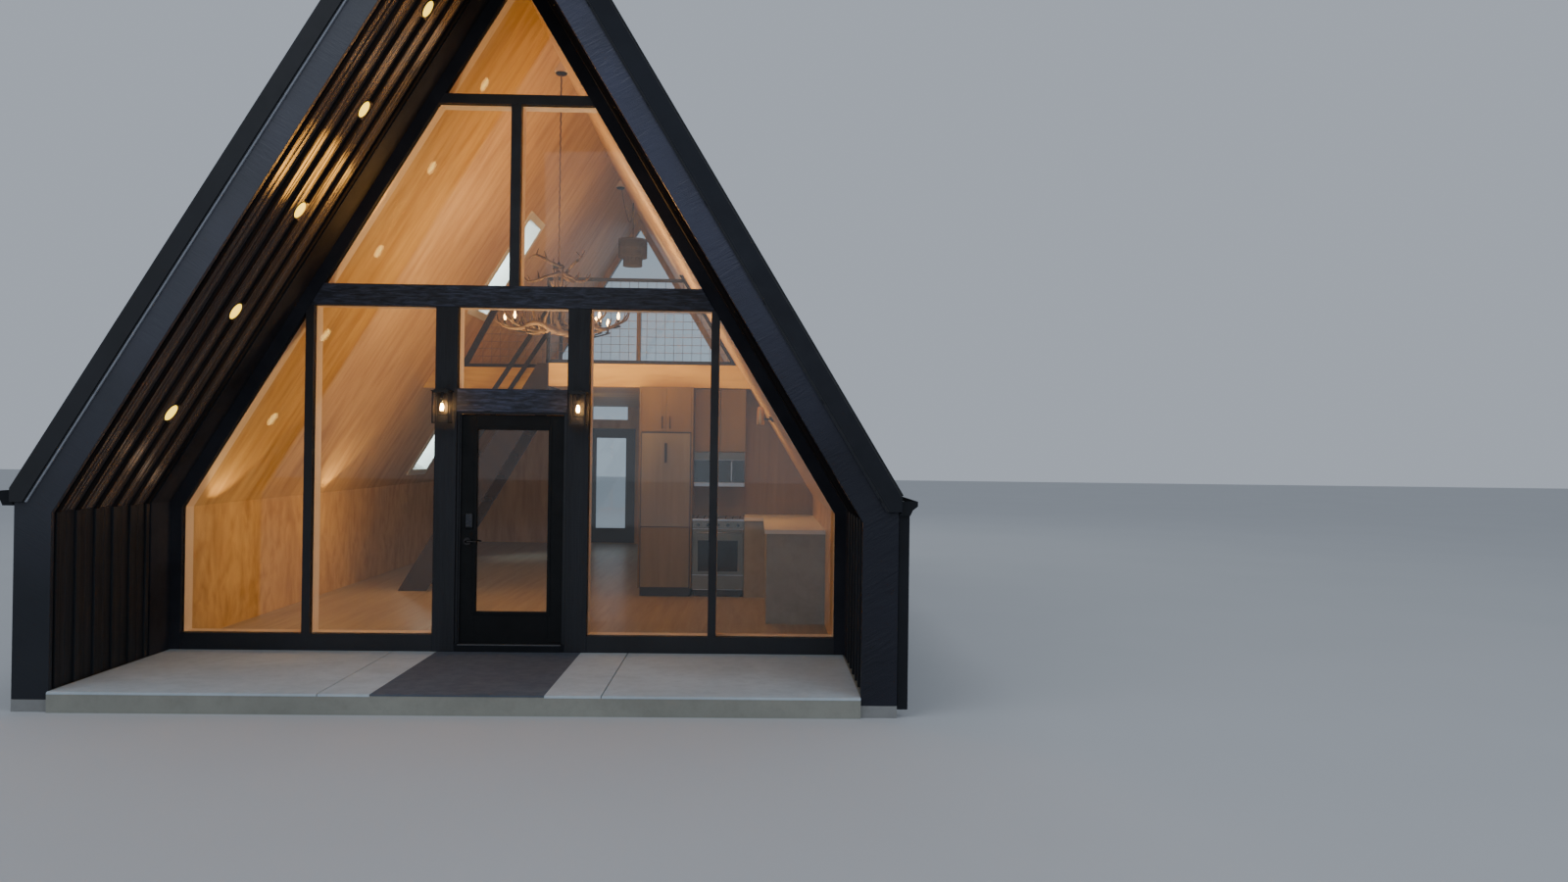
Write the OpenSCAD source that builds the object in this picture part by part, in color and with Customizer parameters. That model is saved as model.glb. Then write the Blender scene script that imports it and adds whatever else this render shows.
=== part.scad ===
// A-frame cabin with a glazed, recessed front gable and a covered porch.
// Millimetres, +Z up, ground level at z = 0. The front faces -Y, +X is to the
// right when looking at the front. Inside the modules, Y is counted from the
// front face of the roof and moved to the middle of the roof by place().

/* [Overall] */
// Length of the roof, front fascia to rear fascia
length = 13110; // [12200:10:14000]
// Roof pitch in degrees from level
pitch = 58.75; // [57:0.25:60]
// Top of the porch slab above the ground
slab_top = 150; // [120:5:200]
// Half the width between the porch trims
half_in = 2916; // [2900:2:2950]
// Half the width over the knee walls
half_out = 3180; // [3170:2:3240]
// Height of the porch knee above the slab
knee_in = 1273; // [1250:1:1300]
// Foot of the knee walls below the top of the slab
foot_drop = 62; // [50:2:80]

/* [Roof build-up] */
// Outer plane of the fascia band, square to the slope
roof_main = 198; // [180:2:220]
// Outer plane of the roofing, square to the slope
roof_out = 333; // [300:1:360]
// Half the width where the roofing stops over the fascia
x_strip = 3100; // [3080:2:3120]
// Half the width over the eaves
x_eave = 3200; // [3190:2:3240]
// Thickness of the fascia boards
fascia_t = 40; // [25:1:50]
// How far the roofing stands proud of the fascia
roof_proud = 22; // [10:1:40]

/* [Porch] */
// Depth from the fascia to the glazed wall
recess = 1758; // [1500:2:2000]
// Front edge of the slab ahead of the fascia
slab_nose = 32; // [0:1:60]
// Spacing of the cladding battens
batten_pitch = 251.5; // [240:0.5:280]
// First batten from the fascia
batten_first = 105; // [90:1:130]
// Width of a batten
batten_w = 45; // [30:1:60]
// Thickness of a batten
batten_t = 19; // [10:1:19]
// Diameter of a recessed lamp in the porch soffit
light_d = 150; // [100:1:160]
// Distance of the lamps behind the front of the fascia
light_y = 830; // [700:1:900]
// Depth of the plain boards beside the glazed wall
reveal_d = 330; // [200:2:400]
// Width of the dark entry strip
entry_w = 1250; // [1200:2:1300]

/* [Glazed wall] */
// Half the width of the glazing at its base
glass_half = 2834; // [2820:2:2840]
// Height of the glazing's knee above the slab
glass_knee = 1228; // [1210:1:1240]
// Depth of the black outer frame
frame_d = 72; // [60:2:90]
// Depth of the light wood inner frame
inner_d = 148; // [120:2:170]
// Glass thickness
glass_t = 24; // [18:1:28]
// Top of the base band above the slab
sill_h = 146; // [130:1:160]
// Near side of the side mullions
mull_a1 = 1727; // [1715:1:1735]
// Far side of the side mullions
mull_a2 = 1796; // [1785:1:1805]
// Near side of the main posts
post_b1 = 478; // [476:1:490]
// Far side of the main posts
post_b2 = 671; // [660:1:680]
// Underside of the main beam above the slab
beam_z1 = 3004; // [2980:1:3020]
// Top of the main beam above the slab
beam_z2 = 3193; // [3180:1:3210]
// Underside of the door header above the slab
head_z1 = 2091; // [2080:1:2100]
// Top of the door header above the slab
head_z2 = 2293; // [2280:1:2300]
// Underside of the upper transom above the slab
trans_z1 = 4783; // [4770:1:4800]
// Top of the upper transom above the slab
trans_z2 = 4869; // [4860:1:4880]
// Half the width of the centre mullion
mull_c = 44; // [38:1:50]

/* [Door] */
// Half the width of the leaf
leaf_half = 455; // [440:1:455]
// Thickness of the leaf
leaf_t = 44; // [40:1:48]
// Face of the leaf behind the face of the glazed wall
leaf_set = 60; // [50:1:70]
// Half the width of the door glass
dglass_half = 318; // [300:1:330]
// Top of the inside floor above the slab
floor_h = 60; // [40:2:64]

/* [Inside] */
// Front edge of the loft from the fascia
loft_y = 5420; // [5200:10:5600]
// Underside of the loft above the slab
loft_z1 = 2510; // [2480:2:2540]
// Top of the loft floor above the slab
loft_z2 = 2780; // [2760:2:2800]
// Depth of the ladder opening
well_d = 900; // [850:10:950]

/* [Hidden] */
$fn = 48;
T = tan(pitch);
S = sin(pitch);
C = cos(pitch);
z_knee = slab_top + knee_in;
foot = slab_top - foot_drop;
z_eave = z_knee + T * (half_in + roof_main / S - x_strip);
z_plate = z_knee - 60;
zg = slab_top + glass_knee;
g_os = S * (glass_half - half_in + (zg - z_knee) / T);
lin_t = 20;
lin_ow = glass_half - half_in;
lin_os = g_os;
str_ow = lin_ow + lin_t;
str_os = lin_os + lin_t;
clad_o = 25;
clad_t = 20;
y_in = recess + frame_d;
y_room = y_in + inner_d;
rear_set = 306;
rear_t = 150;
y_rear2 = length - rear_set;
y_rear1 = y_rear2 - rear_t;
z_floor = slab_top + floor_h;
y_pane = recess + 32;
leaf_free = leaf_half - 2;
// skylights on the left slope, one under and one over the loft:
// near side, far side, foot height, length up the slope
sky_lower = [8080, 8830, slab_top + 1430, 1180];
sky_upper = [6270, 7020, slab_top + 3506, 1360];
// ladder lines, counted from the middle and from the slab
lad_k = 1.69;
lad_w = 332;
rail_k = 1.55;
lad_x0 = -1060;
lad_z0 = 1230;
rail_x0 = -1005;
rail_z0 = 2475;
rail_b = 1640;

// half width at height z of the plane os outside the soffit
function rail_end(z) = xs(lin_os, z) - 6;
function xs(os, z) = half_in + os / S - (z - z_knee) / T;
// ridge height of the plane os
function zr(os) = z_knee + T * (half_in + os / S);
// height where the wall face ow meets the slope plane os
function zk(ow, os) = z_knee + T * (os / S - ow);

module place() { translate([0, -length / 2, 0]) children(); }
module slab_y(y0, y1) {
    translate([0, y1, 0]) rotate([90, 0, 0]) linear_extrude(height = y1 - y0) children();
}
module box(x0, x1, y0, y1, z0, z1) {
    translate([x0, y0, z0]) cube([x1 - x0, y1 - y0, z1 - z0]);
}

// ---- outlines, seen from the front, right half ----
// fascia and fin: from the wall face ow / slope plane os out to the main band
module main_outline(ow, os, zb) {
    polygon([[half_in + ow, zb], [half_out, zb], [half_out, z_eave], [x_strip, z_eave],
             [0, zr(roof_main)], [0, zr(os)], [half_in + ow, zk(ow, os)]]);
}
module roof_outline(ow, os) { main_outline(ow, os, z_plate); }
// band between two pairs of planes, from zb up to the ridge
module band_outline(ow1, os1, ow2, os2, zb) {
    polygon([[half_in + ow1, zb], [half_in + ow2, zb], [half_in + ow2, zk(ow2, os2)],
             [0, zr(os2)], [0, zr(os1)], [half_in + ow1, zk(ow1, os1)]]);
}
// whole glazed area, both halves
module pane_area(zb) {
    polygon([[-glass_half, zb], [glass_half, zb], [glass_half, zg], [0, zg + glass_half * T], [-glass_half, zg]]);
}
// room section inside the lining, both halves
module room_area(ow, os, zb) {
    polygon([[-half_in - ow, zb], [half_in + ow, zb], [half_in + ow, zk(ow, os)], [0, zr(os)], [-half_in - ow, zk(ow, os)]]);
}
module rect(x0, x1, z0, z1) { translate([x0, z0]) square([x1 - x0, z1 - z0]); }

// the glazed openings
module open_side() { intersection() { pane_area(slab_top); rect(mull_a2, glass_half, slab_top + sill_h, slab_top + beam_z1); } }
module open_rect() { rect(post_b2, mull_a1, slab_top + sill_h, slab_top + beam_z1); }
module open_over_door() { rect(-post_b1, post_b1, slab_top + head_z2, slab_top + beam_z1); }
module open_upper() { intersection() { pane_area(slab_top); rect(mull_c, glass_half, slab_top + beam_z2, slab_top + trans_z1); } }
module open_top() { intersection() { pane_area(slab_top); rect(-glass_half, glass_half, slab_top + trans_z2, slab_top + 7000); } }
module both() { children(); mirror([1, 0]) children(); }

// ---- ground works ----
module foundation() color([0.45, 0.44, 0.42]) place() difference() {
    box(-half_out, half_out, 0, length, 0, foot);
    box(-half_in, half_in, -20, fascia_t + 1, -10, foot + 10);
    box(-half_in - clad_o - clad_t, half_in + clad_o + clad_t, fascia_t, y_in, -10, foot + 10);
}
module porch_slab() color([0.66, 0.67, 0.68]) place() difference() {
    union() {
        box(-half_in + 2, half_in - 2, -slab_nose, fascia_t, 0, slab_top);
        box(-half_in - clad_o - clad_t, half_in + clad_o + clad_t, fascia_t, y_in, 0, slab_top);
    }
    // tray for the entry strip
    box(-entry_w / 2, entry_w / 2, -slab_nose - 1, recess, slab_top - 12, slab_top + 5);
    // sawn joints
    for (x = [-1000, 1035]) box(x - 4, x + 4, -slab_nose - 1, recess, slab_top - 10, slab_top + 5);
}
module entry_strip() color([0.09, 0.09, 0.11]) place()
    box(-entry_w / 2, entry_w / 2, -slab_nose, recess, slab_top - 12, slab_top);
module floor_deck() color([0.62, 0.45, 0.28]) place() {
    box(-half_in - str_ow, half_in + str_ow, y_in, y_room, foot, slab_top);
    box(-half_in - str_ow, half_in + str_ow, y_room, y_rear1, foot, z_floor);
}

// ---- shell ----
module knee_wall() {
    slab_y(fascia_t, y_in) rect(half_in + clad_o + clad_t, half_out, foot, z_plate);
    slab_y(y_in, length - fascia_t) rect(half_in + str_ow, half_out, foot, z_plate);
}
module roof_core() {
    slab_y(fascia_t, y_in) roof_outline(clad_o + clad_t, clad_o + clad_t);
    slab_y(y_in, length - fascia_t) roof_outline(str_ow, str_os);
}
module roof_cover() slab_y(-roof_proud, length + roof_proud)
    polygon([[x_strip, z_eave], [x_eave, z_eave], [x_eave, z_knee + T * (half_in + roof_out / S - x_eave)],
             [0, zr(roof_out)], [0, zr(roof_main)]]);
// puts the slope of the left half on its back: local x runs up the slope from
// height z0 on the lining plane, y along the roof, z out of the building
module on_left_slope(z0) {
    translate([-xs(lin_os, z0), 0, z0]) rotate([0, -pitch, 0]) children();
}
module sky_cut() for (k = [sky_lower, sky_upper]) on_left_slope(k[2]) box(0, k[3], k[0], k[1], -50, 700);
module knee_wall_left() color([0.06, 0.065, 0.075]) place() mirror([1, 0, 0]) knee_wall();
module knee_wall_right() color([0.06, 0.065, 0.075]) place() knee_wall();
module roof_left() color([0.06, 0.065, 0.075]) place() difference() { mirror([1, 0, 0]) roof_core(); sky_cut(); }
module roof_right() color([0.06, 0.065, 0.075]) place() roof_core();
module roof_cover_left() color([0.05, 0.055, 0.06]) place() difference() { mirror([1, 0, 0]) roof_cover(); sky_cut(); }
module roof_cover_right() color([0.05, 0.055, 0.06]) place() roof_cover();
module ridge_cap() color([0.05, 0.055, 0.06]) place() slab_y(-roof_proud, length + roof_proud)
    translate([0, 0.2]) polygon([[0, zr(roof_out)], [190 * C, zr(roof_out) - 190 * S], [190 * C + 14 * S, zr(roof_out) - 190 * S + 14 * C],
             [0, zr(roof_out + 14)], [-190 * C - 14 * S, zr(roof_out) - 190 * S + 14 * C], [-190 * C, zr(roof_out) - 190 * S]]);
module fascia_half() {
    slab_y(0, fascia_t) main_outline(0, 0, foot);
}
module fascia_left() color([0.13, 0.15, 0.19]) place() mirror([1, 0, 0]) fascia_half();
module fascia_right() color([0.13, 0.15, 0.19]) place() fascia_half();
module rear_fascia() color([0.06, 0.065, 0.075]) place() slab_y(length - fascia_t, length)
    both() main_outline(str_ow, str_os, foot);
module drip_edge() color([0.6, 0.6, 0.6]) place() slab_y(-14, 0) both()
    polygon([[xs(roof_main - 12, z_eave), z_eave], [x_strip, z_eave], [0, zr(roof_main)], [0, zr(roof_main - 12)]]);

// ---- porch lining ----
module porch_cladding() {
    slab_y(fascia_t, recess - reveal_d) band_outline(clad_o, clad_o, clad_o + clad_t, clad_o + clad_t, slab_top + 5);
    difference() {
        for (k = [0:5]) slab_y(batten_first + k * batten_pitch - batten_w / 2, batten_first + k * batten_pitch + batten_w / 2)
            band_outline(clad_o - batten_t, clad_o - batten_t, clad_o, clad_o, slab_top + 5);
        // the batten stops either side of each recessed lamp
        at_downlights() box(-light_d / 2 - 4, light_d / 2 + 4, -light_d / 2 - 4, light_d / 2 + 4, -5, batten_t + 5);
    }
}
// five places up the right slope, local z into the porch
module at_downlights() for (k = [0:4])
    translate([xs(clad_o, slab_top + 2026 + k * 809), light_y, slab_top + 2026 + k * 809]) rotate([0, 180 + pitch, 0]) children();
module porch_cladding_left() color([0.07, 0.06, 0.06]) place() mirror([1, 0, 0]) porch_cladding();
module porch_cladding_right() color([0.07, 0.06, 0.06]) place() porch_cladding();

// ---- glazed wall, black outer frame ----
module rake_frame() {
    slab_y(recess, y_in) band_outline(glass_half - half_in, g_os, clad_o + clad_t, clad_o + clad_t, slab_top);
    slab_y(recess - reveal_d, recess) band_outline(12, 12, clad_o + clad_t, clad_o + clad_t, slab_top);
}
module rake_frame_left() color([0.05, 0.05, 0.06]) place() mirror([1, 0, 0]) rake_frame();
module rake_frame_right() color([0.05, 0.05, 0.06]) place() rake_frame();
module sill_bands() color([0.05, 0.05, 0.06]) place() for (m = [0, 1]) mirror([m, 0, 0])
    slab_y(recess, y_in) rect(post_b2, glass_half, slab_top, slab_top + sill_h);
module posts() color([0.07, 0.08, 0.10]) place() for (m = [0, 1]) mirror([m, 0, 0])
    slab_y(recess - 6, y_in) rect(post_b1, post_b2, slab_top, slab_top + beam_z1);
module main_beam() color([0.08, 0.10, 0.13]) place() slab_y(recess - 8, y_in)
    intersection() { pane_area(slab_top); rect(-glass_half, glass_half, slab_top + beam_z1, slab_top + beam_z2); }
module side_mullions() color([0.05, 0.05, 0.06]) place() for (m = [0, 1]) mirror([m, 0, 0]) slab_y(recess, y_in)
    intersection() { pane_area(slab_top); rect(mull_a1, mull_a2, slab_top + sill_h, slab_top + beam_z1); }
module upper_bars() color([0.05, 0.05, 0.06]) place() slab_y(recess, y_in) {
    rect(-mull_c, mull_c, slab_top + beam_z2, slab_top + trans_z1);
    intersection() { pane_area(slab_top); rect(-glass_half, glass_half, slab_top + trans_z1, slab_top + trans_z2); }
}
module door_header() color([0.08, 0.10, 0.13]) place()
    slab_y(recess - 12, y_in) rect(-post_b1, post_b1, slab_top + head_z1, slab_top + head_z2);
module panes_lower() color([0.7, 0.8, 0.85, 0.3]) place() slab_y(y_pane, y_pane + glass_t) {
    both() open_side();
    both() open_rect();
    open_over_door();
}
module panes_upper() color([0.7, 0.8, 0.85, 0.3]) place() slab_y(y_pane, y_pane + glass_t) {
    both() open_upper();
    open_top();
}
// light wood frame behind the glass
module inner_frame() color([0.80, 0.62, 0.42]) place() slab_y(y_in, y_room) difference() {
    room_area(str_ow, str_os, slab_top);
    both() open_side();
    both() open_rect();
    open_over_door();
    both() open_upper();
    open_top();
    rect(-post_b1, post_b1, slab_top - 10, slab_top + head_z1);
}
module threshold() color([0.10, 0.10, 0.12]) place()
    box(-post_b1, post_b1, recess, y_room, slab_top, slab_top + 66);
module door_frame() color([0.05, 0.05, 0.06]) place() {
    difference() {
        box(-post_b1, post_b1, recess + 20, recess + leaf_set + leaf_t, slab_top + 66, slab_top + head_z1);
        box(-leaf_half - 5.5, leaf_half + 5.5, recess, y_in + 60, slab_top, slab_top + head_z1 - 18);
    }
    // stops on the outside of the leaf
    for (m = [0, 1]) mirror([m, 0, 0]) box(leaf_half - 8, leaf_half + 6,
        recess + 40, recess + leaf_set - 6, slab_top + 66, slab_top + head_z1 - 17);
}

// ---- door leaf: hinged on the right, opens into the room ----
leaf_z1 = slab_top + 72;
leaf_z2 = slab_top + head_z1 - 24;
leaf_y1 = recess + leaf_set;
module door_leaf() color([0.05, 0.05, 0.06]) place() difference() {
    box(-leaf_free, leaf_half, leaf_y1, leaf_y1 + leaf_t, leaf_z1, leaf_z2);
    box(-dglass_half, dglass_half, leaf_y1 - 10, leaf_y1 + leaf_t + 10, slab_top + 333, slab_top + 1943);
}
module door_glass() color([0.7, 0.8, 0.85, 0.3]) place()
    box(-dglass_half, dglass_half, leaf_y1 + 10, leaf_y1 + leaf_t - 10, slab_top + 333, slab_top + 1943);
module lever_set(y, d) {
    translate([-387, y + (d < 0 ? 0 : 12), slab_top + 956]) rotate([90, 0, 0]) cylinder(h = 12, d = 66);
    translate([-387, y + (d < 0 ? -12 : 50), slab_top + 956]) rotate([90, 0, 0]) cylinder(h = 38, d = 20);
    box(-397, -285, y + (d < 0 ? -62 : 46), y + (d < 0 ? -46 : 62), slab_top + 947, slab_top + 965);
}
hinge_x = 460;
hinge_y = recess + 110.5;
hinge_z = [slab_top + 300, slab_top + 1080, slab_top + 1860];
module barrel(z, h) translate([hinge_x, hinge_y, z]) cylinder(h = h, d = 12);
// fixed halves: plate in the gap, two knuckles each
module door_hinges() color([0.05, 0.05, 0.05]) place() for (z = hinge_z) union() {
    box(458.5, 460.3, recess + 75, recess + 103.5, z, z + 100);
    for (h = [0, 68]) { box(458.5, 460.3, recess + 103, hinge_y, z + h, z + h + 32); barrel(z + h, 32); }
}
// leaf halves: plate on the edge of the leaf, one knuckle each; lock and levers
module door_hardware() color([0.03, 0.03, 0.03]) place() {
    for (z = hinge_z) union() {
        box(455.1, 457, recess + 75, recess + 103.5, z, z + 100);
        box(455.1, 457, recess + 103, hinge_y, z + 32.5, z + 67.5);
        barrel(z + 32.5, 35);
    }
    // keypad lock outside, thumb turn inside
    box(-405, -340, leaf_y1 - 22, leaf_y1, slab_top + 1075, slab_top + 1200);
    box(-405, -340, leaf_y1 + leaf_t, leaf_y1 + leaf_t + 24, slab_top + 1075, slab_top + 1200);
    lever_set(leaf_y1, -1);
    lever_set(leaf_y1 + leaf_t, 1);
}

// ---- rain goods ----
module gutter_line() polygon([
    [x_eave, z_eave - 3], [half_out + 4, z_eave - 12], [half_out + 4, slab_top + 1325], [half_out + 82, slab_top + 1325],
    [x_eave + 80, slab_top + 1365], [x_eave + 117, slab_top + 1395], [x_eave + 117, slab_top + 1430], [x_eave, slab_top + 1430]]);
module gutter_void() polygon([
    [x_eave + 3, slab_top + 1500], [x_eave + 3, slab_top + 1329], [half_out + 79, slab_top + 1329],
    [x_eave + 77, slab_top + 1368], [x_eave + 113, slab_top + 1397], [x_eave + 113, slab_top + 1500]]);
module gutters() color([0.10, 0.11, 0.13]) place() for (m = [0, 1]) mirror([m, 0, 0]) difference() {
    slab_y(0, length) gutter_line();
    slab_y(3, length - 3) gutter_void();
}
module downspout(y) box(half_out + 4, half_out + 80, y, y + 60, 60, slab_top + 1325);
module downspouts() color([0.08, 0.09, 0.10]) place() {
    downspout(20);
    mirror([1, 0, 0]) downspout(length - 80);
}

// ---- room lining ----
module lining() slab_y(y_room, y_rear1) band_outline(lin_ow, lin_os, str_ow, str_os, z_floor);
module lining_left() color([0.80, 0.62, 0.42]) place() difference() { mirror([1, 0, 0]) lining(); sky_cut(); }
module lining_right() color([0.80, 0.62, 0.42]) place() lining();

// ---- rear gable ----
module rear_gable(z0, z1) intersection() {
    polygon([[110 - xs(lin_os, z0), z0], [xs(lin_os, z0) - 110, z0], [0, zr(lin_os) - T * 110]]);
    rect(-half_in, half_in, z0, z1);
}
module rear_open_low() difference() {
    rear_gable(slab_top + 3100, slab_top + 4400);
    rect(-35, 35, slab_top, slab_top + 5000);
}
module rear_open_top() rear_gable(slab_top + 4490, slab_top + 7000);
module rear_holes() {
    rect(-900, -30, slab_top + 66, slab_top + 2120);
    rect(-808, -175, slab_top + 2280, slab_top + 2520);
    rear_open_low();
    rear_open_top();
}
module rear_wall() color([0.06, 0.065, 0.075]) place() slab_y(y_rear1 + 20, y_rear2) difference() {
    room_area(str_ow, str_os, foot);
    rear_holes();
}
module rear_lining() color([0.80, 0.62, 0.42]) place() slab_y(y_rear1, y_rear1 + 20) difference() {
    room_area(str_ow, str_os, foot);
    rear_holes();
}
module rear_door() color([0.05, 0.05, 0.06]) place() slab_y(y_rear1 + 50, y_rear1 + 94) difference() {
    rect(-900, -30, slab_top + 66, slab_top + 2120);
    rect(-730, -202, slab_top + 330, slab_top + 1950);
}
module rear_panes() color([0.7, 0.8, 0.85, 0.3]) place() slab_y(y_rear1 + 60, y_rear1 + 84) {
    rect(-730, -202, slab_top + 330, slab_top + 1950);
    rect(-808, -175, slab_top + 2280, slab_top + 2520);
    rear_open_low();
    rear_open_top();
}

// ---- skylights in the left slope ----
module skylight() color([0.07, 0.07, 0.08]) place() for (k = [sky_lower, sky_upper]) on_left_slope(k[2]) {
    difference() {
        box(0, k[3], k[0], k[1], 300, roof_out - lin_os + 60);
        box(45, k[3] - 45, k[0] + 45, k[1] - 45, 290, roof_out - lin_os + 70);
    }
}
// boards round the shaft and the casing on the room side
module skylight_reveal() color([0.85, 0.78, 0.66]) place() for (k = [sky_lower, sky_upper]) on_left_slope(k[2]) {
    difference() {
        box(0.2, k[3] - 0.2, k[0] + 0.2, k[1] - 0.2, -18, 299);
        box(18, k[3] - 18, k[0] + 18, k[1] - 18, -30, 310);
    }
    difference() {
        box(-75, k[3] + 75, k[0] - 75, k[1] + 75, -18, -0.2);
        box(18, k[3] - 18, k[0] + 18, k[1] - 18, -30, 10);
    }
}
module skylight_pane() color([0.7, 0.8, 0.85, 0.3]) place() for (k = [sky_lower, sky_upper]) on_left_slope(k[2])
    box(45, k[3] - 45, k[0] + 45, k[1] - 45, roof_out - lin_os + 20, roof_out - lin_os + 44);

// ---- loft, ladder, rail ----
module loft_floor() color([0.80, 0.62, 0.42]) place() difference() {
    slab_y(loft_y, y_rear1) intersection() {
        room_area(lin_ow, lin_os, 0);
        rect(-half_in, half_in, slab_top + loft_z1, slab_top + loft_z2);
    }
    box(-half_in, -330, loft_y - 10, loft_y + well_d, 0, slab_top + 4000);
}
module bar_x(x0, x1, y, z, h, d) { box(x0, x1, y, y + d, z, z + h); }
module loft_rail() color([0.06, 0.05, 0.05]) place() {
    zt = slab_top + loft_z2;
    // front run, its right end following the slope
    slab_y(loft_y + 10, loft_y + 50) {
        rect(-365, rail_end(zt + 1000) - 20, zt + 980, zt + 1020);
        rect(-365, rail_end(zt + 25) - 20, zt, zt + 45);
        polygon([[rail_end(zt + 1070) - 46, zt + 1070], [rail_end(zt + 1070), zt + 1070], [rail_end(zt), zt], [rail_end(zt) - 46, zt]]);
        rect(-365, -325, zt, zt + 1000);
    }
    // run along the back of the ladder opening, its left end leaning the same way
    slab_y(loft_y + well_d + 10, loft_y + well_d + 50) {
        rect(-1000, -325, zt + 980, zt + 1020);
        rect(-1520, -325, zt, zt + 45);
        polygon([[-1602, zt], [-1516, zt], [-984, zt + 1020], [-1070, zt + 1020]]);
        rect(-365, -325, zt, zt + 1000);
    }
}
function lx(z) = lad_x0 + (z - lad_z0) / lad_k;
module ladder() color([0.06, 0.05, 0.05]) place() {
    yn = loft_y + 60;
    yf = loft_y + well_d - 78;
    for (y = [yn, yf]) slab_y(y, y + 38) intersection() {
        polygon([[lx(floor_h) , slab_top + floor_h], [lx(loft_z2), slab_top + loft_z2],
                 [lx(loft_z2) - lad_w, slab_top + loft_z2], [lx(floor_h) - lad_w, slab_top + floor_h]]);
        rect(-2400, -330, slab_top, slab_top + loft_z2);
    }
    for (k = [1:9]) {
        z = floor_h + k * (loft_z2 - floor_h) / 10;
        box(lx(z) - lad_w + 40, lx(z) - 60, yn + 38, yf, slab_top + z - 36, slab_top + z);
    }
}
module ladder_rails() color([0.06, 0.05, 0.05]) place() {
    for (y = [loft_y + 64, loft_y + well_d - 74]) slab_y(y, y + 30) {
        polygon([[rail_x0 + (rail_b - rail_z0) / rail_k, slab_top + rail_b], [rail_x0 + (3540 - rail_z0) / rail_k, slab_top + 3540],
                 [rail_x0 + (3540 - rail_z0) / rail_k + 60, slab_top + 3540], [rail_x0 + (rail_b - rail_z0) / rail_k + 60, slab_top + rail_b]]);
        // stand-offs, ending on the stringer's upper edge
        difference() {
            for (z = [1800, 2350]) polygon([
                [rail_x0 + (z - rail_z0) / rail_k + 40, slab_top + z], [lx(z - 210) - lad_w + 30, slab_top + z - 210 - 30],
                [lx(z - 210) - lad_w + 30, slab_top + z - 240 - 40], [rail_x0 + (z - 40 - rail_z0) / rail_k + 40, slab_top + z - 40]]);
            polygon([[lx(0) - lad_w - 0.2, slab_top], [lx(3200) - lad_w - 0.2, slab_top + 3200],
                     [lx(3200) + 400, slab_top + 3200], [lx(0) + 400, slab_top]]);
        }
    }
}

// ---- kitchen under the loft ----
module kitchen_wall() color([0.72, 0.55, 0.38]) place() slab_y(5800, 5900) intersection() {
    room_area(lin_ow, lin_os, 0);
    rect(773, half_in, z_floor, slab_top + loft_z1);
}
module cabinets() color([0.66, 0.45, 0.25]) place() {
    box(773, 1396, 5170, 5800, z_floor, slab_top + loft_z1 - 5);
    slab_y(5450, 5800) intersection() {
        room_area(lin_ow, lin_os, 0);
        rect(1402, 2010, slab_top + 1755, slab_top + loft_z1 - 5);
    }
}
module appliances() color([0.55, 0.56, 0.58]) place() {
    box(1400, 2004, 5190, 5800, z_floor, slab_top + 984);
    box(1400, 2004, 5400, 5800, slab_top + 1340, slab_top + 1750);
}
module counter_base() color([0.45, 0.44, 0.42]) place() union() {
    box(2250, half_in + lin_ow, 3150, 5800, z_floor, slab_top + 955);
    box(2006, 2260, 5200, 5800, z_floor, slab_top + 955);
}
module counter_top() color([0.85, 0.84, 0.80]) place() union() {
    box(2230, half_in + lin_ow, 3130, 5800, slab_top + 955, slab_top + 995);
    box(2006, 2240, 5170, 5800, slab_top + 955, slab_top + 995);
}

// ---- lights ----
// five recessed lamps up each porch soffit
module downlights() color([0.95, 0.85, 0.6]) place() for (m = [0, 1]) mirror([m, 0, 0])
    at_downlights() translate([0, 0, 0.1]) cylinder(h = 5.9, d = light_d);
module lanterns() color([0.05, 0.05, 0.05]) place() for (x = [-585, 585])
    translate([x, recess - 6, slab_top + 2140]) {
        box(-55, 55, -10, 0, -80, 148);
        box(-62, 62, -142, -4, 130, 148);
        box(-80, 80, -160, -10, 118, 131);
        box(-72, 72, -152, -28, -160, -148);
        for (a = [-72, 62], b = [-152, -38]) box(a, a + 10, b, b + 10, -150, 120);
    }
module lantern_bulbs() color([1, 0.8, 0.45]) place() for (x = [-585, 585])
    translate([x, recess - 6 - 90, slab_top + 2140]) {
        translate([0, 0, 0]) cylinder(h = 118, d = 26);
        translate([0, 0, -32]) sphere(d = 58);
    }
// block in the ridge and ceiling plate
module ridge_plate(zt) union() {
    slab_y(-60, 60) polygon([[-66.4, zt - 110], [66.4, zt - 110], [0, zt - 0.6]]);
    translate([0, 0, zt - 140]) cylinder(h = 30, d = 128);
}
module chandelier() color([0.45, 0.33, 0.20]) place() translate([0, 4050, slab_top]) {
    zt = zr(lin_os) - slab_top;
    ridge_plate(zt);
    translate([0, 0, 3150]) cylinder(h = zt - 3150 - 135, d = 20);
    translate([0, 0, 3060]) cylinder(h = 640, d = 110);
    translate([0, 0, 3060]) rotate_extrude() translate([600, 0]) circle(d = 60);
    for (a = [0:60:300]) rotate([0, 0, a]) box(0, 600, -20, 20, 3050, 3090);
}
module small_lights() color([0.40, 0.32, 0.22]) place() {
    // woven lantern on its chain, fed from a plate at the ridge
    translate([0, 9600, slab_top]) ridge_plate(zr(lin_os) - slab_top);
    translate([200, 9600, slab_top]) {
        translate([0, 0, 4575]) cylinder(h = 135, d = 300);
        translate([0, 0, 4700]) cylinder(h = 290, d = 446);
        translate([0, 0, 4980]) cylinder(h = z_knee + T * (half_in + lin_os / S - 200) - slab_top - 4980 - 14, d = 14);
    }
    // metal shade on the right slope over the counter
    translate([2174, 3600, slab_top + 2045]) {
        cylinder(h = 190, d = 84);
        translate([0, 0, 60]) rotate([0, 90, 0]) cylinder(h = 121.5, d = 20);
    }
}

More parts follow.
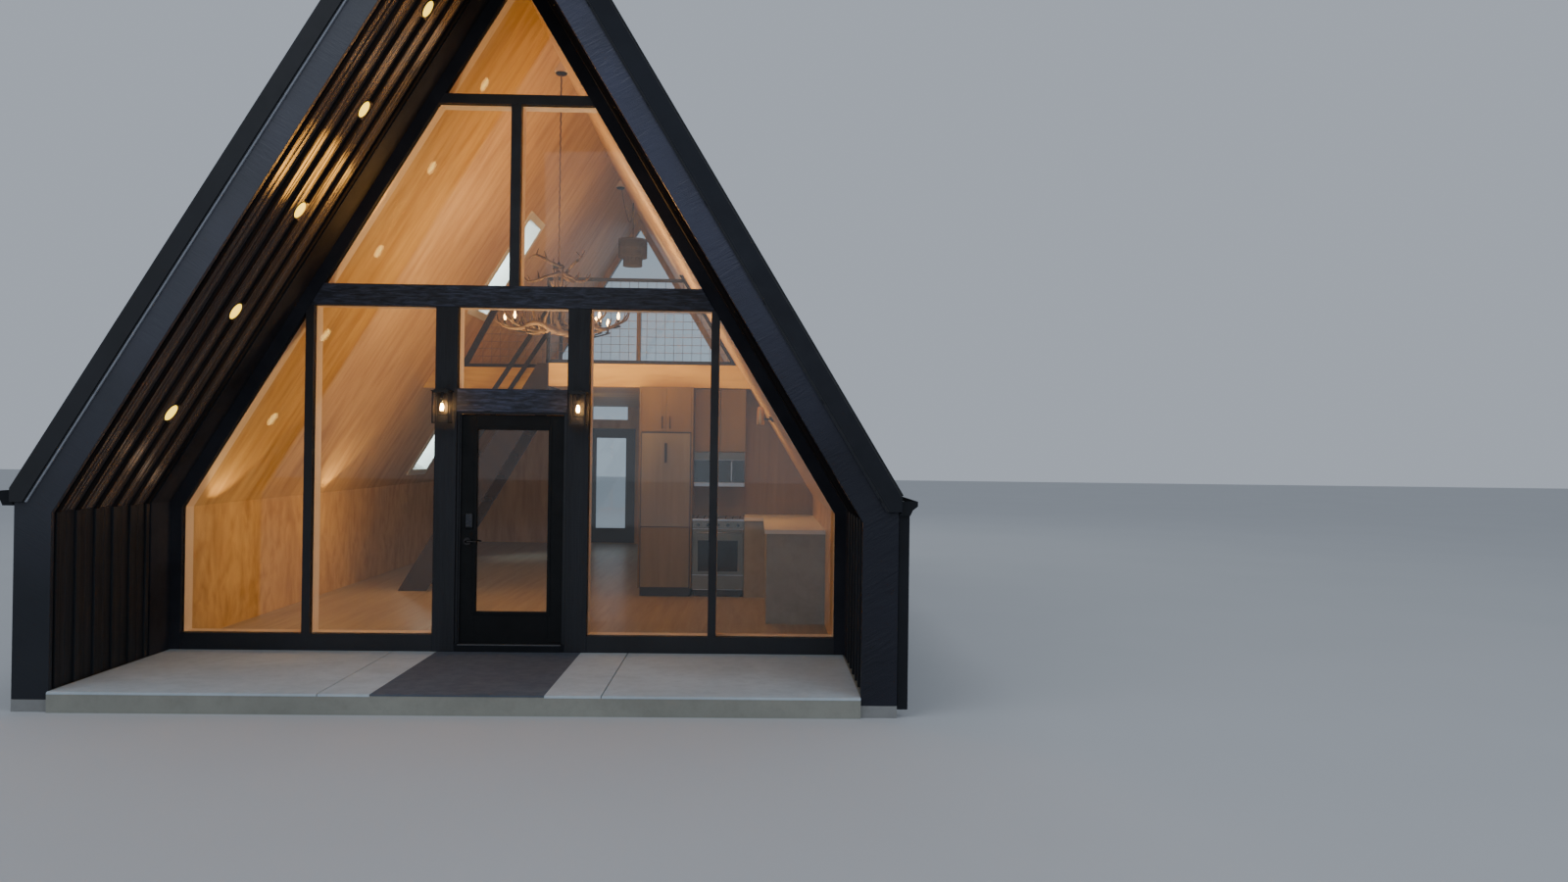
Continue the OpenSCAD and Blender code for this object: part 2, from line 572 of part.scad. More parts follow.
foundation();
porch_slab();
entry_strip();
floor_deck();
knee_wall_left();
knee_wall_right();
roof_left();
roof_right();
roof_cover_left();
roof_cover_right();
ridge_cap();
fascia_left();
fascia_right();
rear_fascia();
drip_edge();
porch_cladding_left();
porch_cladding_right();
rake_frame_left();
rake_frame_right();
sill_bands();
posts();
main_beam();
side_mullions();
upper_bars();
door_header();
panes_lower();
panes_upper();
inner_frame();
threshold();
door_frame();
door_leaf();
door_glass();
door_hinges();
door_hardware();
gutters();
downspouts();
lining_left();
lining_right();
rear_wall();
rear_lining();
rear_door();
rear_panes();
skylight();
skylight_reveal();
skylight_pane();
loft_floor();
loft_rail();
ladder();
ladder_rails();
kitchen_wall();
cabinets();
appliances();
counter_base();
counter_top();
downlights();
lanterns();
lantern_bulbs();
chandelier();
small_lights();
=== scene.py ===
import bpy, bmesh, math, random
from mathutils import Vector, Matrix, noise


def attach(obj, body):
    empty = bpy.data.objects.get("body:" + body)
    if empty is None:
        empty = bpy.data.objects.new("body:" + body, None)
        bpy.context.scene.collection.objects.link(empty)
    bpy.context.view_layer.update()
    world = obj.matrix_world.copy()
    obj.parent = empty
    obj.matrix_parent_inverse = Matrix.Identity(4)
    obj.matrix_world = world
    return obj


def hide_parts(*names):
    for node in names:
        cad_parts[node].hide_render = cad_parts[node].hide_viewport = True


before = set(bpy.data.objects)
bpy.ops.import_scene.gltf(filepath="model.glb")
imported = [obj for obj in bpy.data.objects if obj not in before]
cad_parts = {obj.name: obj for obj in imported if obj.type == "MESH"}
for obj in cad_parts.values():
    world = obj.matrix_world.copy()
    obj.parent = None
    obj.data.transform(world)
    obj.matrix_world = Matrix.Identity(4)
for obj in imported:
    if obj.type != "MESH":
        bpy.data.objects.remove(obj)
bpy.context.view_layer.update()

# ---------------------------------------------------------------- sizes
# Metres. x to the right, y from the front of the fascia backwards, z from the
# ground. Piece.make(), the camera and the lights move y to the frame's own origin, the middle of the roof.
LEN = 13.110
PITCH = math.radians(58.75)
T, S, C = math.tan(PITCH), math.sin(PITCH), math.cos(PITCH)
SLAB = 0.150
HI = 2.916
HO = 3.180
ZK = SLAB + 1.273
FOOT = 0.088
ROOF_MAIN = 0.198
ROOF_OUT = 0.333
XS_STRIP = 3.100
XE = 3.200
RECESS = 1.758
GH = 2.834
ZG = SLAB + 1.228
LIN = S * (GH - HI + (ZG - ZK) / T)          # lining plane, measured from the soffit plane
LAMP_Y = 0.830
LAMP_Z = [SLAB + 2.026 + k * 0.809 for k in range(5)]
Y_IN = RECESS + 0.072
Y_ROOM = Y_IN + 0.148
Y_R2 = LEN - 0.306
Y_R1 = Y_R2 - 0.150
Z_FLOOR = SLAB + 0.060


def xs(o, z):
    return HI + o / S - (z - ZK) / T


def zr(o):
    return ZK + T * (HI + o / S)


def zkn(ow, o):
    return ZK + T * (o / S - ow)


Z_EAVE = ZK + T * (HI + ROOF_MAIN / S - XS_STRIP)


# ---------------------------------------------------------------- camera
def add_camera():
    f = 1202.0
    cx, cy, cz = 2.1231, -8.5743 - LEN / 2, 1.8085 + SLAB
    yaw, pit, roll = (math.radians(a) for a in (1.3968, 0.3473, 0.7493))
    fwd = Vector((math.sin(yaw) * math.cos(pit), math.cos(yaw) * math.cos(pit), math.sin(pit)))
    right = Vector((math.cos(yaw), -math.sin(yaw), 0.0))
    up = right.cross(fwd)
    r = math.cos(roll) * right + math.sin(roll) * up
    u = -math.sin(roll) * right + math.cos(roll) * up
    cam = bpy.data.cameras.new("camera")
    cam.sensor_fit = "HORIZONTAL"
    cam.sensor_width = 36.0
    cam.lens = f / 1600.0 * 36.0
    cam.clip_end = 200.0
    ob = bpy.data.objects.new("camera", cam)
    bpy.context.scene.collection.objects.link(ob)
    m = Matrix.Identity(4)
    for i in range(3):
        m[i][0], m[i][1], m[i][2] = r[i], u[i], -fwd[i]
    m.translation = Vector((cx, cy, cz))
    ob.matrix_world = m
    bpy.context.scene.camera = ob


add_camera()


# ---------------------------------------------------------------- node helpers
class Mat:
    """A material with its Principled shader and short calls for nodes."""

    def __init__(self, name):
        self.m = bpy.data.materials.new(name)
        self.m.use_nodes = True
        self.t = self.m.node_tree
        self.t.nodes.clear()
        self.out = self.t.nodes.new("ShaderNodeOutputMaterial")
        self.p = self.t.nodes.new("ShaderNodeBsdfPrincipled")
        self.t.links.new(self.p.outputs[0], self.out.inputs[0])
        self.co = None

    def n(self, kind, **kw):
        nd = self.t.nodes.new(kind)
        for k, v in kw.items():
            setattr(nd, k, v)
        return nd

    def link(self, a, b):
        self.t.links.new(a, b)

    def coords(self, rot=(0, 0, 0), scale=(1, 1, 1), loc=(0, 0, 0)):
        if self.co is None:
            self.co = self.n("ShaderNodeTexCoord").outputs["Object"]
        src = self.co
        if any(rot):
            a = self.n("ShaderNodeMapping")
            a.inputs["Rotation"].default_value = rot
            self.link(src, a.inputs["Vector"])
            src = a.outputs[0]
        b = self.n("ShaderNodeMapping")
        b.inputs["Scale"].default_value = scale
        b.inputs["Location"].default_value = loc
        self.link(src, b.inputs["Vector"])
        return b.outputs[0]

    def noise(self, vec, scale=1.0, detail=4.0, rough=0.55, dist=0.0):
        nd = self.n("ShaderNodeTexNoise")
        nd.inputs["Scale"].default_value = scale
        nd.inputs["Detail"].default_value = detail
        nd.inputs["Roughness"].default_value = rough
        nd.inputs["Distortion"].default_value = dist
        self.link(vec, nd.inputs["Vector"])
        return nd.outputs["Fac"]

    def voronoi(self, vec, scale=1.0, feature="F1", rand=1.0):
        nd = self.n("ShaderNodeTexVoronoi", feature=feature)
        nd.inputs["Scale"].default_value = scale
        nd.inputs["Randomness"].default_value = rand
        self.link(vec, nd.inputs["Vector"])
        return nd

    def ramp(self, fac, stops, interp="LINEAR"):
        nd = self.n("ShaderNodeValToRGB")
        cr = nd.color_ramp
        cr.interpolation = interp
        while len(cr.elements) > 1:
            cr.elements.remove(cr.elements[-1])
        cr.elements[0].position = stops[0][0]
        cr.elements[0].color = (*stops[0][1], 1)
        for pos, col in stops[1:]:
            e = cr.elements.new(pos)
            e.color = (*col, 1)
        self.link(fac, nd.inputs[0])
        return nd.outputs[0]

    def rng(self, fac, a, b, lo, hi):
        nd = self.n("ShaderNodeMapRange")
        nd.inputs[1].default_value = a
        nd.inputs[2].default_value = b
        nd.inputs[3].default_value = lo
        nd.inputs[4].default_value = hi
        self.link(fac, nd.inputs[0])
        return nd.outputs[0]

    def math(self, op, a, b=0.0):
        nd = self.n("ShaderNodeMath", operation=op)
        for i, v in enumerate((a, b)):
            if isinstance(v, (int, float)):
                nd.inputs[i].default_value = v
            else:
                self.link(v, nd.inputs[i])
        return nd.outputs[0]

    def mix(self, fac, a, b, blend="MIX"):
        nd = self.n("ShaderNodeMix", data_type="RGBA", blend_type=blend)
        for sock, v in ((nd.inputs[0], fac), (nd.inputs[6], a), (nd.inputs[7], b)):
            if isinstance(v, (int, float)):
                sock.default_value = v
            elif isinstance(v, tuple):
                sock.default_value = (*v, 1)
            else:
                self.link(v, sock)
        return nd.outputs[2]

    def bump(self, height, strength=0.3, dist=0.002, normal=None):
        nd = self.n("ShaderNodeBump")
        nd.inputs["Strength"].default_value = strength
        nd.inputs["Distance"].default_value = dist
        self.link(height, nd.inputs["Height"])
        if normal is not None:
            self.link(normal, nd.inputs["Normal"])
        return nd.outputs[0]

    def set(self, **kw):
        names = {"color": "Base Color", "rough": "Roughness", "metal": "Metallic", "spec": "Specular IOR Level",
                 "coat": "Coat Weight", "coat_rough": "Coat Roughness", "normal": "Normal", "emit": "Emission Color",
                 "emit_s": "Emission Strength", "ior": "IOR", "trans": "Transmission Weight", "alpha": "Alpha"}
        for k, v in kw.items():
            s = self.p.inputs[names[k]]
            if isinstance(v, tuple):
                s.default_value = (*v, 1)
            elif isinstance(v, (int, float)):
                s.default_value = v
            else:
                self.link(v, s)
        return self


def grain(m, along, tone_a, tone_b, rot=(0, 0, 0), fine=260.0, coarse=9.0, stretch=0.05):
    """Wood grain along one axis of the turned coordinates: 0 x, 1 y, 2 z."""
    sc = [1.0, 1.0, 1.0]
    sc[along] = stretch
    v = m.coords(rot=rot, scale=tuple(sc))
    broad = m.noise(v, coarse, 3, 0.6, 0.6)
    lines = m.noise(v, fine * 0.35, 4, 0.65, 0.3)
    f = m.math("ADD", m.math("MULTIPLY", broad, 0.65), m.math("MULTIPLY", lines, 0.35))
    col = m.ramp(f, [(0.34, tone_a), (0.66, tone_b)])
    return col, lines, broad, v


# ---------------------------------------------------------------- materials
def painted(name, col, rough=0.42, stipple=0.25, scale=120.0, var=0.35, spec=0.5):
    m = Mat(name)
    v = m.coords()
    big = m.noise(v, 1.3, 5, 0.6)
    small = m.noise(v, scale, 3, 0.6)
    c = m.mix(m.rng(big, 0.3, 0.7, 0.0, 1.0), tuple(x * (1 - var) for x in col), tuple(min(1, x * (1 + var)) for x in col))
    m.set(color=c, rough=m.rng(m.noise(v, 7.0, 4, 0.6), 0.3, 0.7, rough - 0.08, rough + 0.10), spec=spec,
          normal=m.bump(small, stipple, 0.003))
    return m.m


def rippled(name, col, rot, ripple=0.5, rough=0.40, dist=0.006, foot_shade_col=(0.014, 0.016, 0.019), z0=0.8, z1=4.0, shine=(0.2, 0.8)):
    """Paint over a board with a fine crosswise ripple and a pebbled skin; towards the bottom the colour is painted
    darker and the sheen lower, a painted shade for the lower board getting less light.
    """
    m = Mat(name)
    v = m.coords()
    big = m.noise(v, 1.1, 5, 0.6)
    c = m.mix(m.rng(big, 0.3, 0.7, 0.0, 1.0), tuple(x * 0.72 for x in col), tuple(x * 1.28 for x in col))
    # painted shade and painted sheen: from z1 down to z0 the colour mixes towards the dark bottom colour and the
    # specular level drops
    xyz = m.n("ShaderNodeSeparateXYZ")
    m.link(v, xyz.inputs[0])
    high = m.rng(xyz.outputs[2], z0, z1, 0.0, 1.0)
    c = m.mix(high, m.mix(0.8, c, foot_shade_col), c)
    across = m.coords(rot=rot, scale=(1.0, 1.0, 0.16))
    rip = m.noise(across, 34.0, 3, 0.55, 0.7)
    peb = m.noise(v, 150.0, 3, 0.6)
    patch = m.rng(m.noise(v, 2.6, 3, 0.5), 0.35, 0.62, 0.25, 1.0)
    h = m.math("ADD", m.math("MULTIPLY", m.math("MULTIPLY", rip, patch), 1.0), m.math("MULTIPLY", peb, 0.22))
    m.set(color=c, rough=m.rng(m.noise(v, 9.0, 4, 0.6), 0.3, 0.7, rough - 0.08, rough + 0.12),
          spec=m.rng(high, 0.0, 1.0, *shine), normal=m.bump(h, ripple, dist))
    return m.m


def sawn(name, col_a, col_b, along, strength=0.6, rough=0.55):
    """Rough sawn timber under dark stain: long torn grain and saw marks across it."""
    m = Mat(name)
    col, lines, broad, v = grain(m, along, col_a, col_b, fine=300, coarse=14, stretch=0.045)
    sc = [1.0, 1.0, 1.0]
    sc[along] = 30.0
    saw = m.noise(m.coords(scale=tuple(sc)), 2.2, 2, 0.5)
    h = m.math("ADD", m.math("MULTIPLY", lines, 0.8), m.math("MULTIPLY", saw, 0.35))
    m.set(color=col, rough=m.rng(lines, 0.3, 0.7, rough - 0.12, rough + 0.15), spec=0.5, normal=m.bump(h, strength, 0.006))
    return m.m


def hewn(name, dark, light, strength=1.0):
    """Planed-over rough timber: dark stain with short pale torn streaks along it; their bluish tint is a painted
    highlight of the sky on the raised grain.
    """
    m = Mat(name)
    v = m.coords(scale=(0.14, 1.0, 1.0))
    warp = m.noise(m.coords(scale=(0.5, 1, 1)), 3.0, 3, 0.5)
    a = m.noise(v, 46.0, 4, 0.62, 0.5)
    b = m.noise(v, 120.0, 3, 0.6)
    f = m.math("ADD", m.math("MULTIPLY", a, 0.75), m.math("MULTIPLY", b, 0.25))
    patch = m.rng(warp, 0.38, 0.62, 0.45, 1.0)
    streak = m.math("MULTIPLY", m.rng(f, 0.50, 0.60, 0.0, 1.0), patch)
    mid = tuple(0.62 * p_ + 0.38 * q_ for p_, q_ in zip(dark, light))
    c = m.mix(m.rng(f, 0.36, 0.50, 0.0, 1.0), dark, mid)
    # painted highlight: the bluish streak colour stands for the sky's sheen on the torn fibres, partly their own paler
    # tone
    c = m.mix(streak, c, light)
    m.set(color=c, rough=m.rng(b, 0.3, 0.7, 0.42, 0.68), spec=0.5, normal=m.bump(f, strength, 0.010))
    return m.m


def sheeny(name, col_a, col_b, rot):
    """Dark stained panel whose gloss comes and goes in fine lines up the slope."""
    m = Mat(name)
    v = m.coords(rot=rot, scale=(0.012, 1.0, 1.0))
    fine = m.noise(v, 120.0, 2, 0.5)
    mid = m.noise(v, 27.0, 2, 0.5)
    f = m.math("ADD", m.math("MULTIPLY", fine, 0.45), m.math("MULTIPLY", mid, 0.55))
    c = m.ramp(f, [(0.36, col_a), (0.64, col_b)])
    m.set(color=c, rough=m.rng(mid, 0.3, 0.7, 0.15, 0.24), spec=m.rng(f, 0.46, 0.55, 0.0, 1.0), normal=m.bump(fine, 0.35, 0.002))
    return m.m


def boards(name, col_a, col_b, along, rot=(0, 0, 0), rough=0.35, coat=0.3, strength=0.3, spec=0.5):
    m = Mat(name)
    col, lines, broad, v = grain(m, along, col_a, col_b, rot=rot, fine=280, coarse=12, stretch=0.05)
    m.set(color=col, rough=m.rng(lines, 0.25, 0.75, rough - 0.06, rough + 0.16), spec=spec, coat=coat, coat_rough=0.22,
          normal=m.bump(lines, strength, 0.003))
    return m.m


def lining(name, rot, along=0, bright=1.0, blue=1.0):
    """Golden veneer-smooth wood: long soft streaks, cathedral figure and scattered knots."""
    m = Mat(name)
    sc = [1.0, 1.0, 1.0]
    sc[along] = 0.16
    v = m.coords(rot=rot, scale=tuple(sc))
    warp = m.noise(v, 1.6, 3, 0.5, 0.4)
    vec = m.n("ShaderNodeVectorMath", operation="ADD")
    m.link(v, vec.inputs[0])
    cmb = m.n("ShaderNodeCombineXYZ")
    w2 = m.math("MULTIPLY", m.math("SUBTRACT", warp, 0.5), 0.35)
    for i in range(3):
        m.link(w2, cmb.inputs[i])
    m.link(cmb.outputs[0], vec.inputs[1])
    streak = m.noise(vec.outputs[0], 9.0, 5, 0.55, 0.2)
    fine = m.noise(vec.outputs[0], 95.0, 3, 0.6)
    b = bright
    base = m.ramp(streak, [(0.32, (0.440 * b, 0.262 * b, 0.108 * b * blue)), (0.50, (0.560 * b, 0.366 * b, 0.172 * b * blue)),
                           (0.70, (0.640 * b, 0.430 * b, 0.212 * b * blue))])
    patch = m.rng(m.noise(vec.outputs[0], 2.6, 3, 0.55, 0.3), 0.50, 0.64, 0.0, 0.42)
    base = m.mix(patch, base, (0.385 * b, 0.222 * b, 0.088 * b * blue))
    # knots: stretched cells, dark heart and a darker ring
    ks = [1.0, 1.0, 1.0]
    ks[along] = 0.42
    kv = m.coords(rot=rot, scale=tuple(ks))
    wob = m.noise(kv, 6.0, 2, 0.5)
    kv2 = m.n("ShaderNodeVectorMath", operation="ADD")
    m.link(kv, kv2.inputs[0])
    cm2 = m.n("ShaderNodeCombineXYZ")
    w3 = m.math("MULTIPLY", m.math("SUBTRACT", wob, 0.5), 0.10)
    for i in range(3):
        m.link(w3, cm2.inputs[i])
    m.link(cm2.outputs[0], kv2.inputs[1])
    vor = m.voronoi(kv2.outputs[0], 1.15)
    d = vor.outputs["Distance"]
    heart = m.rng(d, 0.008, 0.026, 1.0, 0.0)
    halo = m.rng(d, 0.02, 0.20, 0.34, 0.0)
    k = m.mix(halo, base, (0.42 * b, 0.235 * b, 0.095 * b))
    k = m.mix(m.math("MULTIPLY", heart, 0.60), k, (0.22, 0.11, 0.045))
    k = m.mix(m.math("MULTIPLY", m.rng(fine, 0.35, 0.7, 0.0, 1.0), 0.07), k, (0.40 * b, 0.23 * b, 0.10 * b))
    m.set(color=k, rough=m.rng(fine, 0.3, 0.7, 0.36, 0.5), spec=0.45, coat=0.12, coat_rough=0.3,
          normal=m.bump(fine, 0.08, 0.002))
    return m.m


def glass(name, tint=(0.93, 0.96, 0.97), ior=1.5):
    m = Mat(name)
    m.t.nodes.remove(m.p)
    tr = m.n("ShaderNodeBsdfTransparent")
    tr.inputs[0].default_value = (*tint, 1)
    gl = m.n("ShaderNodeBsdfGlossy")
    gl.inputs["Color"].default_value = (1, 1, 1, 1)
    gl.inputs["Roughness"].default_value = 0.02
    # Schlick's curve, the same on both faces of the pane, as the light isn't bent inside it
    lw = m.n("ShaderNodeLayerWeight")
    lw.inputs["Blend"].default_value = 0.5
    f0 = ((ior - 1) / (ior + 1)) ** 2
    curve = m.math("ADD", m.math("MULTIPLY", m.math("POWER", lw.outputs["Facing"], 5.0), 1.0 - f0), f0)
    mx = m.n("ShaderNodeMixShader")
    m.link(curve, mx.inputs[0])
    m.link(tr.outputs[0], mx.inputs[1])
    m.link(gl.outputs[0], mx.inputs[2])
    m.link(mx.outputs[0], m.out.inputs[0])
    return m.m


def concrete(name, col, dark=0.8, stain=0.25):
    m = Mat(name)
    v = m.coords()
    big = m.noise(v, 0.9, 6, 0.6, 0.5)
    mid = m.noise(v, 11.0, 5, 0.65)
    fine = m.noise(v, 240.0, 2, 0.5)
    c = m.mix(m.rng(big, 0.35, 0.7, 0.0, 1.0), tuple(x * dark for x in col), col)
    c = m.mix(m.math("MULTIPLY", m.rng(mid, 0.45, 0.75, 0.0, 1.0), stain), c, tuple(x * 0.55 for x in col))
    # painted shade: the colour darkens in the pores, as shade falls in the pits
    pore = m.voronoi(v, 130.0)
    pit = m.rng(pore.outputs["Distance"], 0.0, 0.22, 1.0, 0.0)
    c = m.mix(m.math("MULTIPLY", pit, 0.35), c, tuple(x * 0.4 for x in col))
    h = m.math("ADD", m.math("MULTIPLY", fine, 0.5), m.math("MULTIPLY", pit, -0.8))
    m.set(color=c, rough=m.rng(mid, 0.3, 0.7, 0.7, 0.92), spec=0.35, normal=m.bump(h, 0.35, 0.002))
    return m.m


def metal(name, col, rough=0.3, metallic=1.0, brush=None):
    m = Mat(name)
    v = m.coords(scale=brush or (1, 1, 1))
    nz = m.noise(v, 60.0, 3, 0.6)
    big = m.noise(m.coords(), 3.0, 3, 0.6)
    c = m.mix(m.rng(big, 0.3, 0.7, 0.0, 1.0), tuple(x * 0.85 for x in col), col)
    m.set(color=c, metal=metallic, rough=m.rng(nz, 0.3, 0.7, rough - 0.05, rough + 0.1), normal=m.bump(nz, 0.06, 0.001))
    return m.m


def drip_edge_metal(name):
    """One edge metal, coloured pale on the left rake and dark on the right one: a painted highlight on the left and
    painted shade on the right.
    """
    m = Mat(name)
    v = m.coords()
    x = m.n("ShaderNodeSeparateXYZ")
    m.link(v, x.inputs[0])
    # painted light: the pale colour where the left rake catches the light, the dark one where the right rake is in
    # shade
    side = m.rng(x.outputs[0], -0.004, 0.004, 0.0, 1.0)
    nz = m.noise(v, 26.0, 3, 0.6)
    pale = m.mix(nz, (0.30, 0.32, 0.36), (0.46, 0.48, 0.53))
    dark = m.mix(nz, (0.010, 0.011, 0.015), (0.024, 0.026, 0.034))
    m.set(color=m.mix(side, pale, dark), metal=0.35, rough=m.rng(nz, 0.3, 0.7, 0.32, 0.48), normal=m.bump(nz, 0.05, 0.001))
    return m.m


def glow(name, col, strength, base=(0.9, 0.8, 0.6)):
    m = Mat(name)
    v = m.coords()
    c = m.mix(m.noise(v, 30.0, 2, 0.5), base, tuple(min(1, x * 1.08) for x in base))
    m.set(color=c, rough=0.35, emit=col, emit_s=strength)
    return m.m


M = {}
# one paint on both boards: the right copy is bluer, and the two sheen ranges and shade heights differ, painted light
# for the different light on each side
M["fascia_l"] = rippled("fascia_paint_left", (0.0400, 0.0425, 0.0600), (0, PITCH, 0), 0.45, foot_shade_col=(0.013, 0.0155, 0.0185), z0=0.8, z1=3.6, shine=(0.28, 0.95))
M["fascia_r"] = rippled("fascia_paint_right", (0.0340, 0.0375, 0.0720), (0, -PITCH, 0), 1.0, 0.34, dist=0.010, foot_shade_col=(0.0125, 0.0135, 0.0160), z0=1.9, z1=3.6, shine=(0.24, 0.62))
M["rake"] = painted("edge_metal_dark", (0.010, 0.011, 0.014), 0.36, 0.10, 40.0)
# a copy of the edge metal with less sheen for the right rake: painted shade for that side
M["rake_r"] = painted("edge_metal_right", (0.0110, 0.0130, 0.0190), 0.40, 0.10, 40.0, 0.35, 0.24)
M["roof"] = painted("roof_metal_dark", (0.018, 0.020, 0.024), 0.38, 0.06, 25.0)
M["drip"] = drip_edge_metal("drip_edge_metal")
# pale lap pieces, used on the left rake only: a painted highlight
M["drip_lap"] = metal("drip_edge_lap", (0.40, 0.42, 0.46), 0.35)
M["siding"] = boards("siding_dark", (0.0085, 0.0085, 0.0095), (0.020, 0.020, 0.023), 2, rough=0.45, coat=0.05)
M["soffit_l"] = sheeny("soffit_dark_left", (0.0330, 0.0290, 0.0300), (0.0900, 0.0800, 0.0810), (0, PITCH, 0))
M["soffit_r"] = sheeny("soffit_dark_right", (0.0330, 0.0290, 0.0300), (0.0900, 0.0800, 0.0810), (0, -PITCH, 0))
M["batten_l"] = boards("batten_dark_left", (0.0115, 0.0102, 0.0106), (0.0260, 0.0230, 0.0236), 0, rot=(0, PITCH, 0), rough=0.85, coat=0.0, strength=0.35, spec=0.0)
M["batten_r"] = boards("batten_dark_right", (0.0115, 0.0102, 0.0106), (0.0260, 0.0230, 0.0236), 0, rot=(0, -PITCH, 0), rough=0.85, coat=0.0, strength=0.35, spec=0.0)
M["porchwall"] = boards("porch_wall_dark", (0.0090, 0.0100, 0.0124), (0.0210, 0.0232, 0.0280), 2, rough=0.50, coat=0.0, strength=0.35, spec=0.3)
M["frame"] = painted("frame_black", (0.0135, 0.0145, 0.0190), 0.42, 0.16, 70.0)
M["frame_dull"] = painted("frame_black_dull", (0.0270, 0.0280, 0.0345), 0.62, 0.16, 70.0, 0.35, 0.0)
M["doorpaint"] = painted("door_black", (0.0020, 0.0027, 0.0034), 0.55, 0.12, 90.0, 0.35, 0.3)
M["post"] = sawn("post_stained", (0.0072, 0.0080, 0.0110), (0.0150, 0.0168, 0.0235), 2, 0.40)
# the third colour of each is the bluish painted highlight of the streaks
M["beam"] = hewn("beam_sawn", (0.0085, 0.0090, 0.0130), (0.062, 0.074, 0.118))
M["header"] = hewn("header_sawn", (0.0080, 0.0100, 0.0180), (0.064, 0.080, 0.140))
M["concrete"] = concrete("porch_concrete", (0.500, 0.570, 0.620))
# a darker, warmer copy of the slab concrete for its front and side faces: painted shade, the top being the lit face
M["concrete_shaded_side"] = concrete("porch_concrete_shaded_edge", (0.335, 0.335, 0.290))
M["footing"] = concrete("footing_concrete", (0.30, 0.30, 0.29))
M["strip"] = concrete("strip_dark", (0.102, 0.122, 0.158), 0.8, 0.3)
M["reveal"] = painted("skylight_reveal_pale", (0.62, 0.62, 0.58), 0.5, 0.05, 60.0, 0.06)
# one wood on both slopes: the right copy is set about an eighth brighter than the left, a painted light
M["lin_l"] = lining("lining_left_wood", (0, PITCH, 0), bright=0.96, blue=0.88)
M["lin_r"] = lining("lining_right_wood", (0, -PITCH, 0), bright=1.08, blue=0.88)
M["lin_v"] = lining("gable_lining_wood", (0, 0, 0), along=2)
M["trimwood"] = boards("inner_frame_wood", (0.66, 0.53, 0.38), (0.76, 0.62, 0.46), 2, rough=0.45, coat=0.05, strength=0.12)
M["loftwood"] = lining("loft_wood", (0, 0, 0), along=0, bright=1.22, blue=0.40)
M["floor"] = boards("floor_planks", (0.270, 0.225, 0.175), (0.400, 0.340, 0.270), 1, rough=0.35, coat=0.25, strength=0.15)
M["stain"] = boards("ladder_stain", (0.014, 0.009, 0.007), (0.035, 0.024, 0.018), 0, rot=(0, -1.03, 0), rough=0.35, coat=0.3)
M["rail"] = painted("rail_black", (0.012, 0.011, 0.011), 0.38, 0.1, 60.0)
M["oak"] = boards("cabinet_oak", (0.136, 0.078, 0.010), (0.196, 0.116, 0.017), 2, rough=0.42, coat=0.10, strength=0.12)
M["oak_pale"] = boards("cabinet_oak_pale", (0.160, 0.128, 0.070), (0.215, 0.174, 0.104), 2, rough=0.38, coat=0.15, strength=0.10)
M["kwall"] = boards("kitchen_panel", (0.215, 0.130, 0.052), (0.30, 0.188, 0.080), 2, rough=0.5, coat=0.05, strength=0.12)
M["stone"] = concrete("counter_panel_stone", (0.36, 0.345, 0.30), 0.7, 0.4)
M["quartz"] = concrete("counter_top_quartz", (0.72, 0.69, 0.63), 0.94, 0.06)
M["steel"] = metal("brushed_steel_soft", (0.55, 0.55, 0.57), 0.32, brush=(1, 1, 24))
M["steel_dim"] = metal("brushed_steel_dim", (0.20, 0.19, 0.16), 0.36, brush=(24, 1, 1))
M["blackgloss"] = painted("black_gloss", (0.006, 0.006, 0.007), 0.12, 0.0, 30.0, 0.1)
M["blackmetal"] = painted("lantern_black", (0.0065, 0.0063, 0.0062), 0.42, 0.15, 200.0)
M["bronze"] = metal("lever_bronze", (0.060, 0.055, 0.055), 0.30)
M["sill_alu"] = metal("sill_aluminium", (0.16, 0.165, 0.18), 0.42)
M["grey"] = painted("keypad_grey", (0.034, 0.036, 0.047), 0.25, 0.0, 60.0, 0.1)
M["gutter"] = painted("gutter_black", (0.014, 0.0155, 0.019), 0.45, 0.05, 40.0, 0.35, 0.14)
M["glass"] = glass("pane_clear")
M["lampglass"] = glass("lantern_glass", (0.97, 0.96, 0.94), 1.18)
M["down"] = glow("downlight_lens", (1.0, 0.66, 0.040), 2.6, (0.8, 0.5, 0.12))
M["downtrim"] = painted("downlight_ring", (0.030, 0.022, 0.016), 0.4, 0.0, 60.0, 0.1)
M["fil"] = glow("filament", (1.0, 0.52, 0.16), 260.0, (1.0, 0.7, 0.3))
M["bulbglow"] = glow("candle_bulb", (1.0, 0.50, 0.15), 26.0, (1.0, 0.8, 0.5))
M["antler"] = boards("antler_bone", (0.018, 0.011, 0.007), (0.100, 0.061, 0.030), 2, rough=0.36, coat=0.2, strength=0.4)
M["mesh"] = metal("mesh_rods_pale", (0.42, 0.40, 0.36), 0.45)
M["rope"] = boards("rope_brown", (0.10, 0.065, 0.040), (0.20, 0.14, 0.09), 2, rough=0.8, coat=0.0, strength=0.8)
M["woven"] = boards("woven_cane", (0.13, 0.108, 0.062), (0.27, 0.225, 0.135), 0, rough=0.7, coat=0.0, strength=0.8)
M["brass"] = metal("brass_shade", (0.72, 0.52, 0.24), 0.30)


